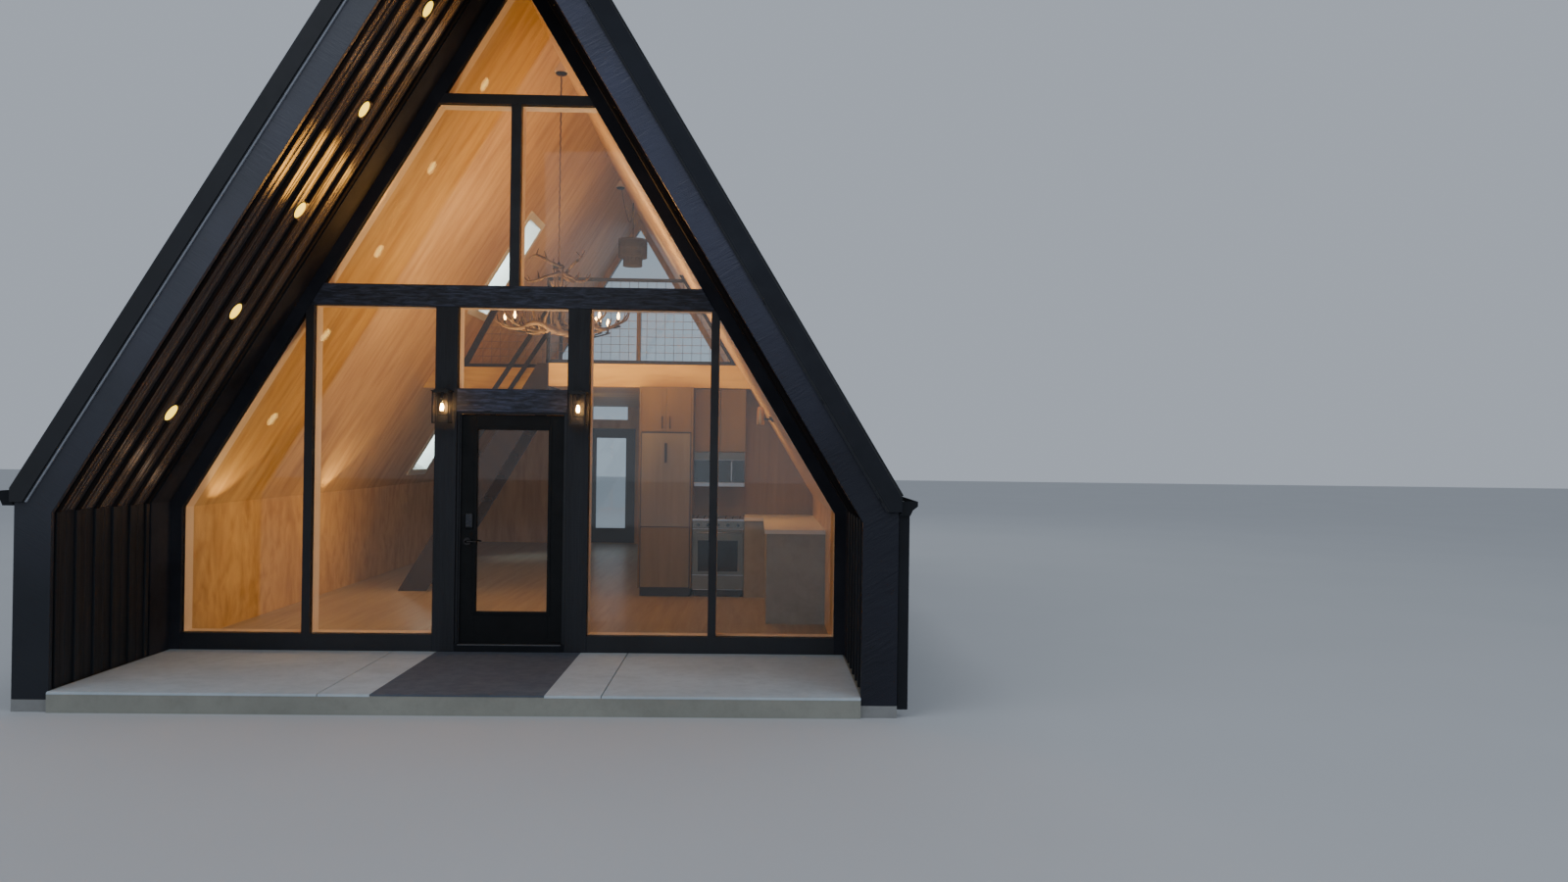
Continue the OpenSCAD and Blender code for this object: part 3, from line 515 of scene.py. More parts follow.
# ---------------------------------------------------------------- mesh helpers
class Piece:
    """Collects closed solids, then makes one object of them."""

    def __init__(self):
        self.v, self.f, self.mi, self.sm = [], [], [], []
        self.M = Matrix.Identity(4)

    def add(self, verts, faces, mat=0, smooth=False):
        o = len(self.v)
        self.v += [tuple(self.M @ Vector(p)) for p in verts]
        self.f += [[i + o for i in f] for f in faces]
        self.mi += [mat] * len(faces)
        self.sm += [smooth] * len(faces)

    def add_bm(self, bm, mat=0, smooth=False):
        bm.verts.ensure_lookup_table()
        for i, v in enumerate(bm.verts):
            v.index = i
        self.add([v.co.copy() for v in bm.verts], [[v.index for v in f.verts] for f in bm.faces], mat, smooth)
        bm.free()

    def prism(self, pts, axis, a, b, mat=0, bevel=0.0, seg=2):
        """An outline pushed along an axis. y: pts are (x, z). x: (y, z). z: (x, y)."""
        place = {"y": lambda p, q: (p[0], q, p[1]), "x": lambda p, q: (q, p[0], p[1]), "z": lambda p, q: (p[0], p[1], q)}[axis]
        bm = bmesh.new()
        lo = [bm.verts.new(place(p, a)) for p in pts]
        hi = [bm.verts.new(place(p, b)) for p in pts]
        bm.faces.new(lo)
        bm.faces.new(hi[::-1])
        n = len(pts)
        for i in range(n):
            bm.faces.new((lo[i], lo[(i + 1) % n], hi[(i + 1) % n], hi[i]))
        bmesh.ops.recalc_face_normals(bm, faces=bm.faces[:])
        if bevel > 0:
            bmesh.ops.bevel(bm, geom=bm.edges[:], offset=bevel, segments=seg, profile=0.5, affect="EDGES", clamp_overlap=True)
        self.add_bm(bm, mat)

    def box(self, x0, x1, y0, y1, z0, z1, mat=0, bevel=0.0, seg=2):
        self.prism([(x0, z0), (x1, z0), (x1, z1), (x0, z1)], "y", y0, y1, mat, bevel, seg)

    def frame4(self, x0, x1, z0, z1, w, y0, y1, mat=0, bevel=0.0):
        """A four-sided frame of bars w wide inside x0..x1, z0..z1."""
        self.box(x0, x0 + w, y0, y1, z0, z1, mat, bevel)
        self.box(x1 - w, x1, y0, y1, z0, z1, mat, bevel)
        self.box(x0 + w, x1 - w, y0, y1, z0, z0 + w, mat, bevel)
        self.box(x0 + w, x1 - w, y0, y1, z1 - w, z1, mat, bevel)

    def tube(self, pts, radii, n=10, mat=0, smooth=True, cap=True):
        pts = [Vector(p) for p in pts]
        if isinstance(radii, (int, float)):
            radii = [radii] * len(pts)
        rings, prev = [], None
        for i, p in enumerate(pts):
            a = pts[max(0, i - 1)]
            b = pts[min(len(pts) - 1, i + 1)]
            d = (b - a).normalized()
            if prev is None:
                u = d.orthogonal().normalized()
            else:
                u = (prev - d * prev.dot(d)).normalized()
            w = d.cross(u)
            prev = u
            rings.append([p + (u * math.cos(2 * math.pi * k / n) + w * math.sin(2 * math.pi * k / n)) * radii[i] for k in range(n)])
        verts = [q for r in rings for q in r]
        faces = []
        for i in range(len(rings) - 1):
            for k in range(n):
                a0, a1 = i * n + k, i * n + (k + 1) % n
                faces.append([a0, a1, a1 + n, a0 + n])
        self.add(verts, faces, mat, smooth)
        if cap:
            o = len(self.v) - len(verts)
            self.f += [list(range(o + n - 1, o - 1, -1)), list(range(o + len(verts) - n, o + len(verts)))]
            self.mi += [mat, mat]
            self.sm += [False, False]

    def cyl(self, p0, p1, r, n=20, mat=0, smooth=True):
        self.tube([p0, p1], r, n, mat, smooth)

    def lathe(self, c, prof, n=24, mat=0, smooth=True):
        """Profile of (radius, height) turned about z at c. Ends close on the axis."""
        verts, faces = [], []
        for r, h in prof:
            for k in range(n):
                a = 2 * math.pi * k / n
                verts.append((c[0] + max(r, 1e-4) * math.cos(a), c[1] + max(r, 1e-4) * math.sin(a), c[2] + h))
        for i in range(len(prof) - 1):
            for k in range(n):
                a0, a1 = i * n + k, i * n + (k + 1) % n
                faces.append([a0, a1, a1 + n, a0 + n])
        o = len(self.v)
        self.add(verts, faces, mat, smooth)
        self.f += [list(range(o + n - 1, o - 1, -1)), list(range(o + len(verts) - n, o + len(verts)))]
        self.mi += [mat, mat]
        self.sm += [False, False]

    def make(self, name, mats, body="shell", replaces=()):
        me = bpy.data.meshes.new(name)
        me.from_pydata([(x, y - LEN / 2, z) for x, y, z in self.v], [], self.f)
        for m in mats if isinstance(mats, (list, tuple)) else [mats]:
            me.materials.append(M[m])
        me.polygons.foreach_set("material_index", self.mi)
        me.polygons.foreach_set("use_smooth", self.sm)
        bm = bmesh.new()
        bm.from_mesh(me)
        bmesh.ops.recalc_face_normals(bm, faces=bm.faces[:])
        bm.to_mesh(me)
        bm.free()
        ob = bpy.data.objects.new(name, me)
        bpy.context.scene.collection.objects.link(ob)
        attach(ob, body)
        if replaces:
            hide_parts(*replaces)
        return ob


def slope(side, o, z0):
    """Frame on a slope plane: x up the slope, y along the roof, z outwards. side 1 right, -1 left."""
    m = Matrix.Identity(4)
    m[0][0], m[1][0], m[2][0] = -side * C, 0, S
    m[0][2], m[1][2], m[2][2] = side * S, 0, C
    m.translation = Vector((side * xs(o, z0), 0, z0))
    return m


def dress(node, mat):
    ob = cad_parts[node]
    for i in range(len(ob.data.materials)):
        ob.data.materials[i] = M[mat]
    if not ob.data.materials:
        ob.data.materials.append(M[mat])


for node, mat in {
    "foundation": "footing", "entry_strip": "strip", "floor_deck": "floor", "knee_wall_left": "siding",
    "knee_wall_right": "siding", "roof_left": "siding", "roof_right": "siding", "roof_cover_left": "roof",
    "roof_cover_right": "roof", "ridge_cap": "roof", "rear_fascia": "rake", "drip_edge": "drip",
    "rake_frame_left": "frame_dull", "rake_frame_right": "frame_dull", "sill_bands": "frame", "side_mullions": "frame",
    "upper_bars": "frame", "panes_lower": "glass", "panes_upper": "glass", "inner_frame": "trimwood",
    "threshold": "gutter", "door_frame": "frame", "door_glass": "glass", "gutters": "gutter", "downspouts": "gutter",
    "lining_left": "lin_l", "lining_right": "lin_r", "rear_wall": "siding", "rear_lining": "lin_v",
    "rear_door": "frame", "rear_panes": "glass", "skylight": "frame", "skylight_pane": "glass",
    "loft_floor": "loftwood", "ladder": "stain", "ladder_rails": "rail", "kitchen_wall": "kwall",
    "counter_base": "stone", "counter_top": "quartz", "skylight_reveal": "reveal", "door_hinges": "blackmetal",
}.items():
    dress(node, mat)


# ---------------------------------------------------------------- outside
def main_outline(side, ow, o, zb):
    pts = [(HI + ow, zb), (HO, zb), (HO, Z_EAVE), (XS_STRIP, Z_EAVE), (0, zr(ROOF_MAIN)), (0, zr(o)), (HI + ow, zkn(ow, o))]
    return [(side * x, z) for x, z in pts]


for side, nm in ((-1, "left"), (1, "right")):
    p = Piece()
    p.prism(main_outline(side, 0, 0, FOOT), "y", 0, 0.040, 0, 0.004)
    p.make("fascia_board_" + nm, "fascia_" + nm[0], replaces=("fascia_" + nm,))

# porch slab: sections between the sawn joints, rounded nosing
p = Piece()
# the body under the nosing takes the darker copy: painted shade on the front and side faces
p.box(-HI + 0.002, HI - 0.002, -0.031, 0.040, 0, SLAB - 0.013, 1)
p.box(-HI - 0.045, HI + 0.045, 0.040, Y_IN, 0, SLAB - 0.013, 1)
for x0, x1 in ((-HI + 0.002, -1.004), (-0.996, -0.625), (0.625, 1.031), (1.039, HI - 0.002)):
    p.prism([(-0.032, SLAB - 0.018), (-0.032, SLAB - 0.013), (-0.028, SLAB - 0.005), (-0.019, SLAB - 0.0005),
             (-0.010, SLAB), (Y_IN, SLAB), (Y_IN, SLAB - 0.018)], "x", x0, x1, 0, 0.0)
p.make("porch_slab_cast", ["concrete", "concrete_shaded_side"], replaces=("porch_slab",))

# metal edge over the roofing at the front
for side, nm in ((-1, "left"), (1, "right")):
    p = Piece()
    run = XE / C
    for y0, y1 in ((-0.030, -0.022),):
        p.M = slope(side, ROOF_OUT, ZK + T * (HI + ROOF_OUT / S - XE))
        z1 = 0.004
        zlow = ROOF_MAIN - ROOF_OUT + 0.010
        x_low = -zlow * T * 0 + 0.004
        # face of the flashing, cut plumb at the eave
        p.M = Matrix.Identity(4)
        pts = [(XS_STRIP - 0.002 + 0.0, Z_EAVE + 0.0), (XE - 0.001, Z_EAVE), (XE - 0.001, ZK + T * (HI + (ROOF_OUT + 0.003) / S - XE)),
               (0, zr(ROOF_OUT + 0.003)), (0, zr(ROOF_MAIN + 0.008))]
        pts[0] = (xs(ROOF_MAIN + 0.008, Z_EAVE), Z_EAVE)
        p.prism([(side * x, z) for x, z in pts], "y", y0, y1, 0, 0.0015)
        # hemmed lower edge
        a, b = xs(ROOF_MAIN + 0.008, Z_EAVE), 0
        p.prism([(side * xs(ROOF_MAIN + 0.006, Z_EAVE), Z_EAVE), (side * xs(ROOF_MAIN + 0.020, Z_EAVE), Z_EAVE),
                 (0, zr(ROOF_MAIN + 0.020)), (0, zr(ROOF_MAIN + 0.006))], "y",
                y0 - 0.002, y1, 0, 0.001)
    for k in range(8):
        u = (2.519 - 2 * 0.836 + 0.836 * k) * S
        z = SLAB + u
        if Z_EAVE + 0.05 < z < zr(ROOF_MAIN) - 0.15:
            p.M = slope(side, ROOF_MAIN, z)
            p.prism([(-0.0152, -0.0128), (-0.0138, -0.0128), (-0.0138, 0.0), (-0.0152, 0.0)], "x", -0.019, 0.019, 1)
            p.M = Matrix.Identity(4)
    # painted light: the laps are pale on the left and take the duller right edge metal on the right
    p.make("rake_trim_" + nm, ["rake" if side < 0 else "rake_r", "drip_lap" if side < 0 else "rake_r"])

# standing seams
for side, nm in ((-1, "left"), (1, "right")):
    p = Piece()
    z0 = ZK + T * (HI + ROOF_OUT / S - XE)
    p.M = slope(side, ROOF_OUT, z0)
    run = XE / C
    k = 0
    y = 0.06
    while y < LEN - 0.03:
        parts = [(0.012, run - 0.185)]
        if side < 0 and 8.03 < y < 8.88:
            parts = [(0.012, 0.18), (1.48, run - 0.185)]
        if side < 0 and 6.22 < y < 7.07:
            parts = [(0.012, 2.60), (4.08, run - 0.185)]
        for a, b in parts:
            p.prism([(y - 0.005, 0), (y + 0.005, 0), (y + 0.005, 0.018), (y + 0.009, 0.020), (y + 0.009, 0.028), (y - 0.009, 0.028),
                     (y - 0.009, 0.020), (y - 0.005, 0.018)], "x", a, b, 0)
        y += 0.4068
        k += 1
    p.make("roof_seams_" + nm, "roof")

# porch cladding: sheet with battens on it, down the soffit and the wall
BATTENS = [0.105 + k * 0.2515 for k in range(6)]


def leg(side, ow1, o1, ow2, o2, zb):
    """Outline of a band down the knee wall: (soffit part, wall part)."""
    zt1, zt2 = zkn(ow1, o1), zkn(ow2, o2)
    soff = [(side * (HI + ow1), zt1), (side * (HI + ow2), zt2), (0, zr(o2)), (0, zr(o1))]
    wall = [(side * (HI + ow1), zb), (side * (HI + ow2), zb), (side * (HI + ow2), zt2), (side * (HI + ow1), zt1)]
    return soff, wall


def lamp_corner(side, o, zc, d):
    """Corner of a batten cut square to the slope, d along it from a lamp."""
    return (side * (xs(0.025, zc) - C * d + (o - 0.025) * S), zc + S * d + (o - 0.025) * C)


for side, nm, ms in ((-1, "left", "soffit_l"), (1, "right", "soffit_r")):
    p = Piece()
    soff, wall = leg(side, 0.025, 0.025, 0.045, 0.045, SLAB + 0.005)
    edges = [0.040] + BATTENS + [RECESS - 0.330]
    # sheets meet under the battens; a narrow board joint runs midway between them
    for a, b in zip(edges, edges[1:]):
        mid = (a + b) / 2
        for u, w in ((a, mid - 0.002), (mid + 0.002, b)):
            if w - u > 0.01:
                # the last sheet, next to the gable, takes the dark batten finish: painted shade for the dark corner
                # there
                p.prism(soff, "y", u, w, 2 if u >= BATTENS[-1] - 0.001 else 0, 0.002, 1)
                p.prism(wall, "y", u, w, 1, 0.002, 1)
    soff, wall = leg(side, 0.006, 0.006, 0.025, 0.025, SLAB + 0.005)
    for y in BATTENS:
        p.prism(wall, "y", y - 0.0225, y + 0.0225, 1, 0.003)
        if abs(y - LAMP_Y) > 0.10:
            p.prism(soff, "y", y - 0.0225, y + 0.0225, 2, 0.003)
            continue
        # this batten stops either side of each lamp
        low = [(side * (HI + 0.006), zkn(0.006, 0.006)), (side * (HI + 0.025), zkn(0.025, 0.025))]
        for zc in LAMP_Z:
            p.prism(low + [lamp_corner(side, 0.025, zc, -0.079), lamp_corner(side, 0.006, zc, -0.079)], "y", y - 0.0225, y + 0.0225, 2, 0.003)
            low = [lamp_corner(side, 0.006, zc, 0.079), lamp_corner(side, 0.025, zc, 0.079)]
        p.prism(low + [(0, zr(0.025)), (0, zr(0.006))], "y", y - 0.0225, y + 0.0225, 2, 0.003)
    p.make("porch_boards_" + nm, [ms, "porchwall", "batten_" + nm[0]], replaces=("porch_cladding_" + nm,))

# posts, beam, header, with eased edges
p = Piece()
for s_ in (-1, 1):
    x0, x1 = sorted((s_ * 0.478, s_ * 0.671))
    p.box(x0, x1, RECESS - 0.006, Y_IN, SLAB, SLAB + 3.004, 0, 0.004)
p.make("gable_posts", "post", replaces=("posts",))
p = Piece()
zb, zt = SLAB + 3.004, SLAB + 3.193
p.prism([(-xs(LIN, zb), zb), (xs(LIN, zb), zb), (xs(LIN, zt), zt), (-xs(LIN, zt), zt)], "y", RECESS - 0.008, Y_IN, 0, 0.004)
p.make("gable_beam", "beam", replaces=("main_beam",))
p = Piece()
p.box(-0.478, 0.478, RECESS - 0.012, Y_IN, SLAB + 2.091, SLAB + 2.293, 0, 0.004)
p.make("door_lintel", "header", replaces=("door_header",))

# plain battens on the long sides
for side, nm in ((-1, "left"), (1, "right")):
    p = Piece()
    y = 0.12
    while y < LEN - 0.08:
        x0, x1 = sorted((side * HO, side * (HO + 0.014)))
        if not (side > 0 and y < 0.15):
            p.box(x0, x1, y - 0.0225, y + 0.0225, FOOT + 0.002, ZK - 0.02, 0, 0.003)
        y += 0.2515
    p.make("side_battens_" + nm, "siding")


# ---------------------------------------------------------------- front door
p = Piece()
ly1, ly2 = RECESS + 0.060, RECESS + 0.104
z1, z2 = SLAB + 0.072, SLAB + 2.067
g0, g1 = SLAB + 0.333, SLAB + 1.943
p.box(-0.453, -0.318, ly1, ly2, z1, z2, 0, 0.003)
p.box(0.318, 0.455, ly1, ly2, z1, z2, 0, 0.003)
p.box(-0.318, 0.318, ly1, ly2, z1, g0, 0, 0.0)
p.box(-0.318, 0.318, ly1, ly2, g1, z2, 0, 0.0)
for y0, y1 in ((ly1 - 0.006, ly1 + 0.011), (ly2 - 0.011, ly2 + 0.004)):
    p.frame4(-0.338, 0.338, g0 - 0.020, g1 + 0.020, 0.028, y0, y1, 0, 0.003)
p.box(-0.445, 0.447, ly1 + 0.004, ly2 - 0.004, z1 - 0.003, z1 + 0.004, 1, 0.0)
p.make("door_leaf_full_lite", ["doorpaint", "rail"], "door", replaces=("door_leaf",))

p = Piece()
# lock with key pad
p.box(-0.407, -0.338, ly1 - 0.020, ly1, SLAB + 1.073, SLAB + 1.203, 0, 0.006)
p.box(-0.400, -0.345, ly1 - 0.0225, ly1 - 0.018, SLAB + 1.085, SLAB + 1.192, 1, 0.002)
for i in range(3):
    for j in range(4):
        p.cyl((-0.3865 + 0.014 * i, ly1 - 0.0235, SLAB + 1.112 + 0.020 * j), (-0.3865 + 0.014 * i, ly1 - 0.0215, SLAB + 1.112 + 0.020 * j), 0.0042, 10, 0)
p.box(-0.405, -0.340, ly2, ly2 + 0.022, SLAB + 1.075, SLAB + 1.200, 0, 0.006)
p.box(-0.376, -0.368, ly2 + 0.020, ly2 + 0.030, SLAB + 1.115, SLAB + 1.155, 2, 0.003)
# lever sets
for d, y in ((-1, ly1), (1, ly2)):
    p.cyl((-0.387, y, SLAB + 0.956), (-0.387, y + d * 0.010, SLAB + 0.956), 0.033, 32, 2)
    p.cyl((-0.387, y + d * 0.010, SLAB + 0.956), (-0.387, y + d * 0.014, SLAB + 0.956), 0.028, 32, 2)
    p.cyl((-0.387, y + d * 0.010, SLAB + 0.956), (-0.387, y + d * 0.052, SLAB + 0.956), 0.0105, 20, 2)
    pts = [(-0.396, y + d * 0.052, SLAB + 0.956), (-0.375, y + d * 0.055, SLAB + 0.956), (-0.34, y + d * 0.055, SLAB + 0.957),
           (-0.31, y + d * 0.054, SLAB + 0.955), (-0.288, y + d * 0.050, SLAB + 0.951)]
    p.tube(pts, [0.0100, 0.0095, 0.0080, 0.0075, 0.0070], 14, 2)
# leaf halves of the three hinges
for z in (SLAB + 0.300, SLAB + 1.080, SLAB + 1.860):
    p.box(0.4551, 0.4570, RECESS + 0.075, RECESS + 0.1035, z, z + 0.100, 0)
    p.box(0.4551, 0.4570, RECESS + 0.103, RECESS + 0.1105, z + 0.0325, z + 0.0675, 0)
    p.cyl((0.460, RECESS + 0.1105, z + 0.0325), (0.460, RECESS + 0.1105, z + 0.0675), 0.006, 20, 0)
    for dz in (0.015, 0.050, 0.085):
        p.cyl((0.4548, RECESS + 0.089, z + dz), (0.4576, RECESS + 0.089, z + dz), 0.0035, 10, 0)
p.make("door_lock_and_lever", ["blackmetal", "grey", "bronze"], "door", replaces=("door_hardware",))

# aluminium sill under the leaf
p = Piece()
p.prism([(RECESS - 0.010, SLAB + 0.0005), (RECESS + 0.002, SLAB + 0.0005), (RECESS + 0.002, SLAB + 0.056), (RECESS - 0.010, SLAB + 0.056)],
        "x", -0.447, 0.447, 0, 0.0)
p.prism([(RECESS - 0.012, SLAB + 0.0565), (RECESS + 0.050, SLAB + 0.0640), (RECESS + 0.050, SLAB + 0.0690), (RECESS + 0.006, SLAB + 0.0690),
         (RECESS - 0.008, SLAB + 0.0660), (RECESS - 0.012, SLAB + 0.0620)], "x", -0.447, 0.447, 1, 0.0)
p.make("sill_nosing", ["gutter", "sill_alu"])


# ---------------------------------------------------------------- lanterns
p = Piece()
for x in (-0.585, 0.585):
    yb = RECESS - 0.006
    zc = SLAB + 2.140
    p.box(x - 0.055, x + 0.055, yb - 0.012, yb, zc - 0.080, zc + 0.140, 0, 0.003)
    p.box(x - 0.012, x + 0.012, yb - 0.060, yb - 0.010, zc + 0.128, zc + 0.140, 0, 0.002)
    # roof of the lantern: plate, step, finial block
    p.box(x - 0.080, x + 0.080, yb - 0.154, yb - 0.012, zc + 0.119, zc + 0.128, 0, 0.002)
    p.box(x - 0.060, x + 0.060, yb - 0.136, yb - 0.032, zc + 0.128, zc + 0.137, 0, 0.002)
    p.box(x - 0.022, x + 0.022, yb - 0.100, yb - 0.060, zc + 0.137, zc + 0.147, 0, 0.002)
    ring = [(x + 0.0 + 0.009 * math.sin(a), yb - 0.080, zc + 0.139 + 0.0 + 0.009 * math.cos(a) * 0.9) for a in [2 * math.pi * k / 16 for k in range(17)]]
    # cage
    for sx in (-1, 1):
        for yy in (yb - 0.146, yb - 0.034):
            p.box(x + sx * 0.067 - 0.005, x + sx * 0.067 + 0.005, yy - 0.005, yy + 0.005, zc - 0.150, zc + 0.119, 0, 0.001)
    for zz in (zc - 0.156, zc - 0.146 + 0.255):
        p.frame4x = None
        p.box(x - 0.072, x + 0.072, yb - 0.151, yb - 0.141, zz, zz + 0.010, 0, 0.001)
        p.box(x - 0.072, x + 0.072, yb - 0.039, yb - 0.029, zz, zz + 0.010, 0, 0.001)
        p.box(x - 0.072, x - 0.062, yb - 0.141, yb - 0.039, zz, zz + 0.010, 0, 0.001)
        p.box(x + 0.062, x + 0.072, yb - 0.141, yb - 0.039, zz, zz + 0.010, 0, 0.001)
    p.box(x - 0.064, x + 0.064, yb - 0.143, yb - 0.037, zc - 0.154, zc - 0.149, 0, 0.001)
    # lamp holder
    p.cyl((x, yb - 0.090, zc + 0.119), (x, yb - 0.090, zc + 0.062), 0.016, 20, 0)
p.make("lantern_cages", "blackmetal", replaces=("lanterns",))
p = Piece()
for x in (-0.585, 0.585):
    yb = RECESS - 0.006
    zc = SLAB + 2.140
    for x0, x1, y0, y1 in ((x - 0.0645, x - 0.0625, yb - 0.140, yb - 0.040), (x + 0.0625, x + 0.0645, yb - 0.140, yb - 0.040),
                           (x - 0.061, x + 0.061, yb - 0.1445, yb - 0.1425)):
        p.box(x0, x1, y0, y1, zc - 0.146, zc + 0.110)
p.make("lantern_glazing", "lampglass")
p = Piece()
for x in (-0.585, 0.585):
    c = (x, RECESS - 0.096, SLAB + 2.115)
    prof = [(0.0, -0.037), (0.012, -0.035), (0.022, -0.028), (0.028, -0.016), (0.029, -0.004), (0.025, 0.012), (0.018, 0.030), (0.0135, 0.048), (0.0130, 0.066)]
    p.lathe(c, prof, 24, 1)
    for a in range(4):
        w = a * math.pi / 2 + 0.4
        p.tube([(c[0] + 0.004 * math.cos(w), c[1] + 0.004 * math.sin(w), c[2] + 0.040), (c[0] + 0.013 * math.cos(w), c[1] + 0.013 * math.sin(w), c[2] + 0.006),
                (c[0] + 0.010 * math.cos(w), c[1] + 0.010 * math.sin(w), c[2] - 0.020)], 0.0016, 6, 0)
p.make("lantern_filament_bulbs", ["fil", "lampglass"], replaces=("lantern_bulbs",))


# ---------------------------------------------------------------- downlights
p = Piece()
for side in (-1, 1):
    for z in LAMP_Z:
        p.M = slope(side, 0.025, z)
        p.lathe((0, LAMP_Y, 0), [(0.075, -0.0001), (0.075, -0.0040), (0.0725, -0.0060), (0.0695, -0.0050), (0.0690, -0.0040)], 40, 0)
        p.lathe((0, LAMP_Y, 0), [(0.0688, -0.0041), (0.0688, -0.0046), (0.045, -0.0052), (0.0, -0.0055)], 40, 1)
p.make("downlight_trims", ["downtrim", "down"], replaces=("downlights",))


# ---------------------------------------------------------------- inside: loft rail
LOFT_Y, WELL = 5.420, 0.900
ZL = SLAB + 2.780


def rail_end(z):
    return xs(LIN, z) - 0.006


def mesh_rods(p, y, x0, x1, top, xa, xb, mat):
    """Welded rods between x0 and x1: top(x) is the height the uprights reach, xa and xb(z) the ends of a level rod."""
    k = 0
    while 0.140 + 0.0936 * k < 0.97:
        z = ZL + 0.140 + 0.0936 * k
        p.tube([(xa(z), y, z), (xb(z), y, z)], 0.0026, 6, mat)
        k += 1
    x = 1.354 - 0.107 * 28
    while x < x1:
        if x > x0 and top(x) > ZL + 0.12:
            p.tube([(x, y + 0.0052, ZL + 0.040), (x, y + 0.0052, top(x))], 0.0026, 6, mat)
        x += 0.107


p = Piece()
y0 = LOFT_Y + 0.010
y1 = y0 + 0.040
p.box(-0.365, rail_end(ZL + 1.000) - 0.020, y0, y1, ZL + 0.980, ZL + 1.020, 0, 0.004)
p.box(-0.365, rail_end(ZL + 0.025) - 0.020, y0, y1, ZL, ZL + 0.045, 0, 0.003)
p.prism([(rail_end(ZL + 1.070) - 0.046, ZL + 1.070), (rail_end(ZL + 1.070), ZL + 1.070), (rail_end(ZL), ZL), (rail_end(ZL) - 0.046, ZL)],
        "y", y0, y1, 0, 0.003)
p.box(-0.365, -0.325, y0, y1, ZL, ZL + 1.000, 0, 0.003)
mesh_rods(p, y0 + 0.020, -0.300, rail_end(ZL) - 0.060, lambda x: min(ZL + 0.985, ZK + T * (HI + LIN / S - x - 0.030)),
          lambda z: -0.345, lambda z: rail_end(z) - 0.020, 1)
y0 = LOFT_Y + WELL + 0.010
y1 = y0 + 0.040
p.box(-1.000, -0.325, y0, y1, ZL + 0.980, ZL + 1.020, 0, 0.004)
p.box(-1.520, -0.325, y0, y1, ZL, ZL + 0.045, 0, 0.003)
p.prism([(-1.602, ZL), (-1.516, ZL), (-0.984, ZL + 1.020), (-1.070, ZL + 1.020)], "y", y0, y1, 0, 0.003)
p.box(-0.365, -0.325, y0, y1, ZL, ZL + 1.000, 0, 0.003)
mesh_rods(p, y0 + 0.020, -1.480, -0.360, lambda x: min(ZL + 0.985, ZL + (x + 1.530) / 0.550 * 1.020),
          lambda z: -1.530 + (z - ZL) / 1.020 * 0.550, lambda z: -0.345, 1)
p.make("loft_railing", ["rail", "mesh"], replaces=("loft_rail",))


# ---------------------------------------------------------------- kitchen
def handle(p, x, y, z0, z1, mat):
    p.cyl((x, y - 0.026, z0), (x, y - 0.026, z1), 0.006, 12, mat)
    for z in (z0 + 0.02, z1 - 0.02):
        p.cyl((x, y, z), (x, y - 0.026, z), 0.0045, 10, mat)


p = Piece()
zt = SLAB + 2.505
yf = 5.170
p.box(0.773, 1.396, yf + 0.020, 5.800, Z_FLOOR + 0.10, zt, 0)
p.box(0.793, 1.376, yf + 0.070, 5.800, Z_FLOOR, Z_FLOOR + 0.10, 1)
# stiles, two top doors, refrigerator panel, drawer front
p.box(0.773, 0.791, yf, yf + 0.020, Z_FLOOR + 0.10, zt, 0, 0.001)
p.box(1.378, 1.396, yf, yf + 0.020, Z_FLOOR + 0.10, zt, 0, 0.001)
xm = (0.793 + 1.376) / 2
for a, b in ((0.794, xm - 0.0015), (xm + 0.0015, 1.375)):
    p.box(a, b, yf, yf + 0.019, SLAB + 1.985, zt - 0.004, 0, 0.002)
# a black sheet behind the panel gaps so they read dark: painted shade for the shadow in the gaps
p.box(0.791, 1.378, yf + 0.0180, yf + 0.0205, Z_FLOOR + 0.10, SLAB + 1.980, 1)
p.box(0.803, 1.366, yf - 0.002, yf + 0.019, SLAB + 0.878, SLAB + 1.964, 3, 0.002)
p.box(0.803, 1.366, yf - 0.002, yf + 0.019, Z_FLOOR + 0.112, SLAB + 0.866, 3, 0.002)
handle(p, xm - 0.045, yf, SLAB + 2.02, SLAB + 2.16, 2)
handle(p, xm + 0.045, yf, SLAB + 2.02, SLAB + 2.16, 2)
p.box(xm - 0.014, xm + 0.014, yf - 0.034, yf - 0.022, SLAB + 1.620, SLAB + 1.850, 2, 0.004)
for z in (SLAB + 1.650, SLAB + 1.820):
    p.cyl((xm, yf - 0.002, z), (xm, yf - 0.026, z), 0.006, 12, 2)
# wall cupboards beside it
for x0, x1 in ((1.402, 1.704), (1.707, 2.010)):
    zt2 = SLAB + 2.505
    a, b = x0 + 0.001, x1 - 0.001
    zr_ = min(zt2, ZK + T * (HI + LIN / S - b))
    p.box(a, b, 5.470, 5.800, SLAB + 1.755, zt2, 0)
    p.box(a, b, 5.450, 5.469, SLAB + 1.757, zt2 - 0.004, 0, 0.002)
p.make("kitchen_cupboards", ["oak", "rail", "blackmetal", "oak_pale"], replaces=("cabinets",))

p = Piece()
# range: body, drawer, oven door with window and bar, control panel with knobs, hob with grates
p.box(1.400, 2.004, 5.215, 5.800, Z_FLOOR + 0.08, SLAB + 0.950, 0, 0.003)
p.box(1.420, 1.984, 5.250, 5.780, Z_FLOOR, Z_FLOOR + 0.08, 1)
p.box(1.404, 2.000, 5.192, 5.214, Z_FLOOR + 0.26, SLAB + 0.850, 2, 0.004)
p.box(1.470, 1.934, 5.190, 5.193, SLAB + 0.36, SLAB + 0.72, 1, 0.001)
p.cyl((1.45, 5.200, SLAB + 0.812), (1.954, 5.200, SLAB + 0.812), 0.009, 14, 0)
p.box(1.404, 2.000, 5.194, 5.214, Z_FLOOR + 0.09, Z_FLOOR + 0.25, 2, 0.003)
p.box(1.404, 2.000, 5.196, 5.214, SLAB + 0.858, SLAB + 0.946, 2, 0.003)
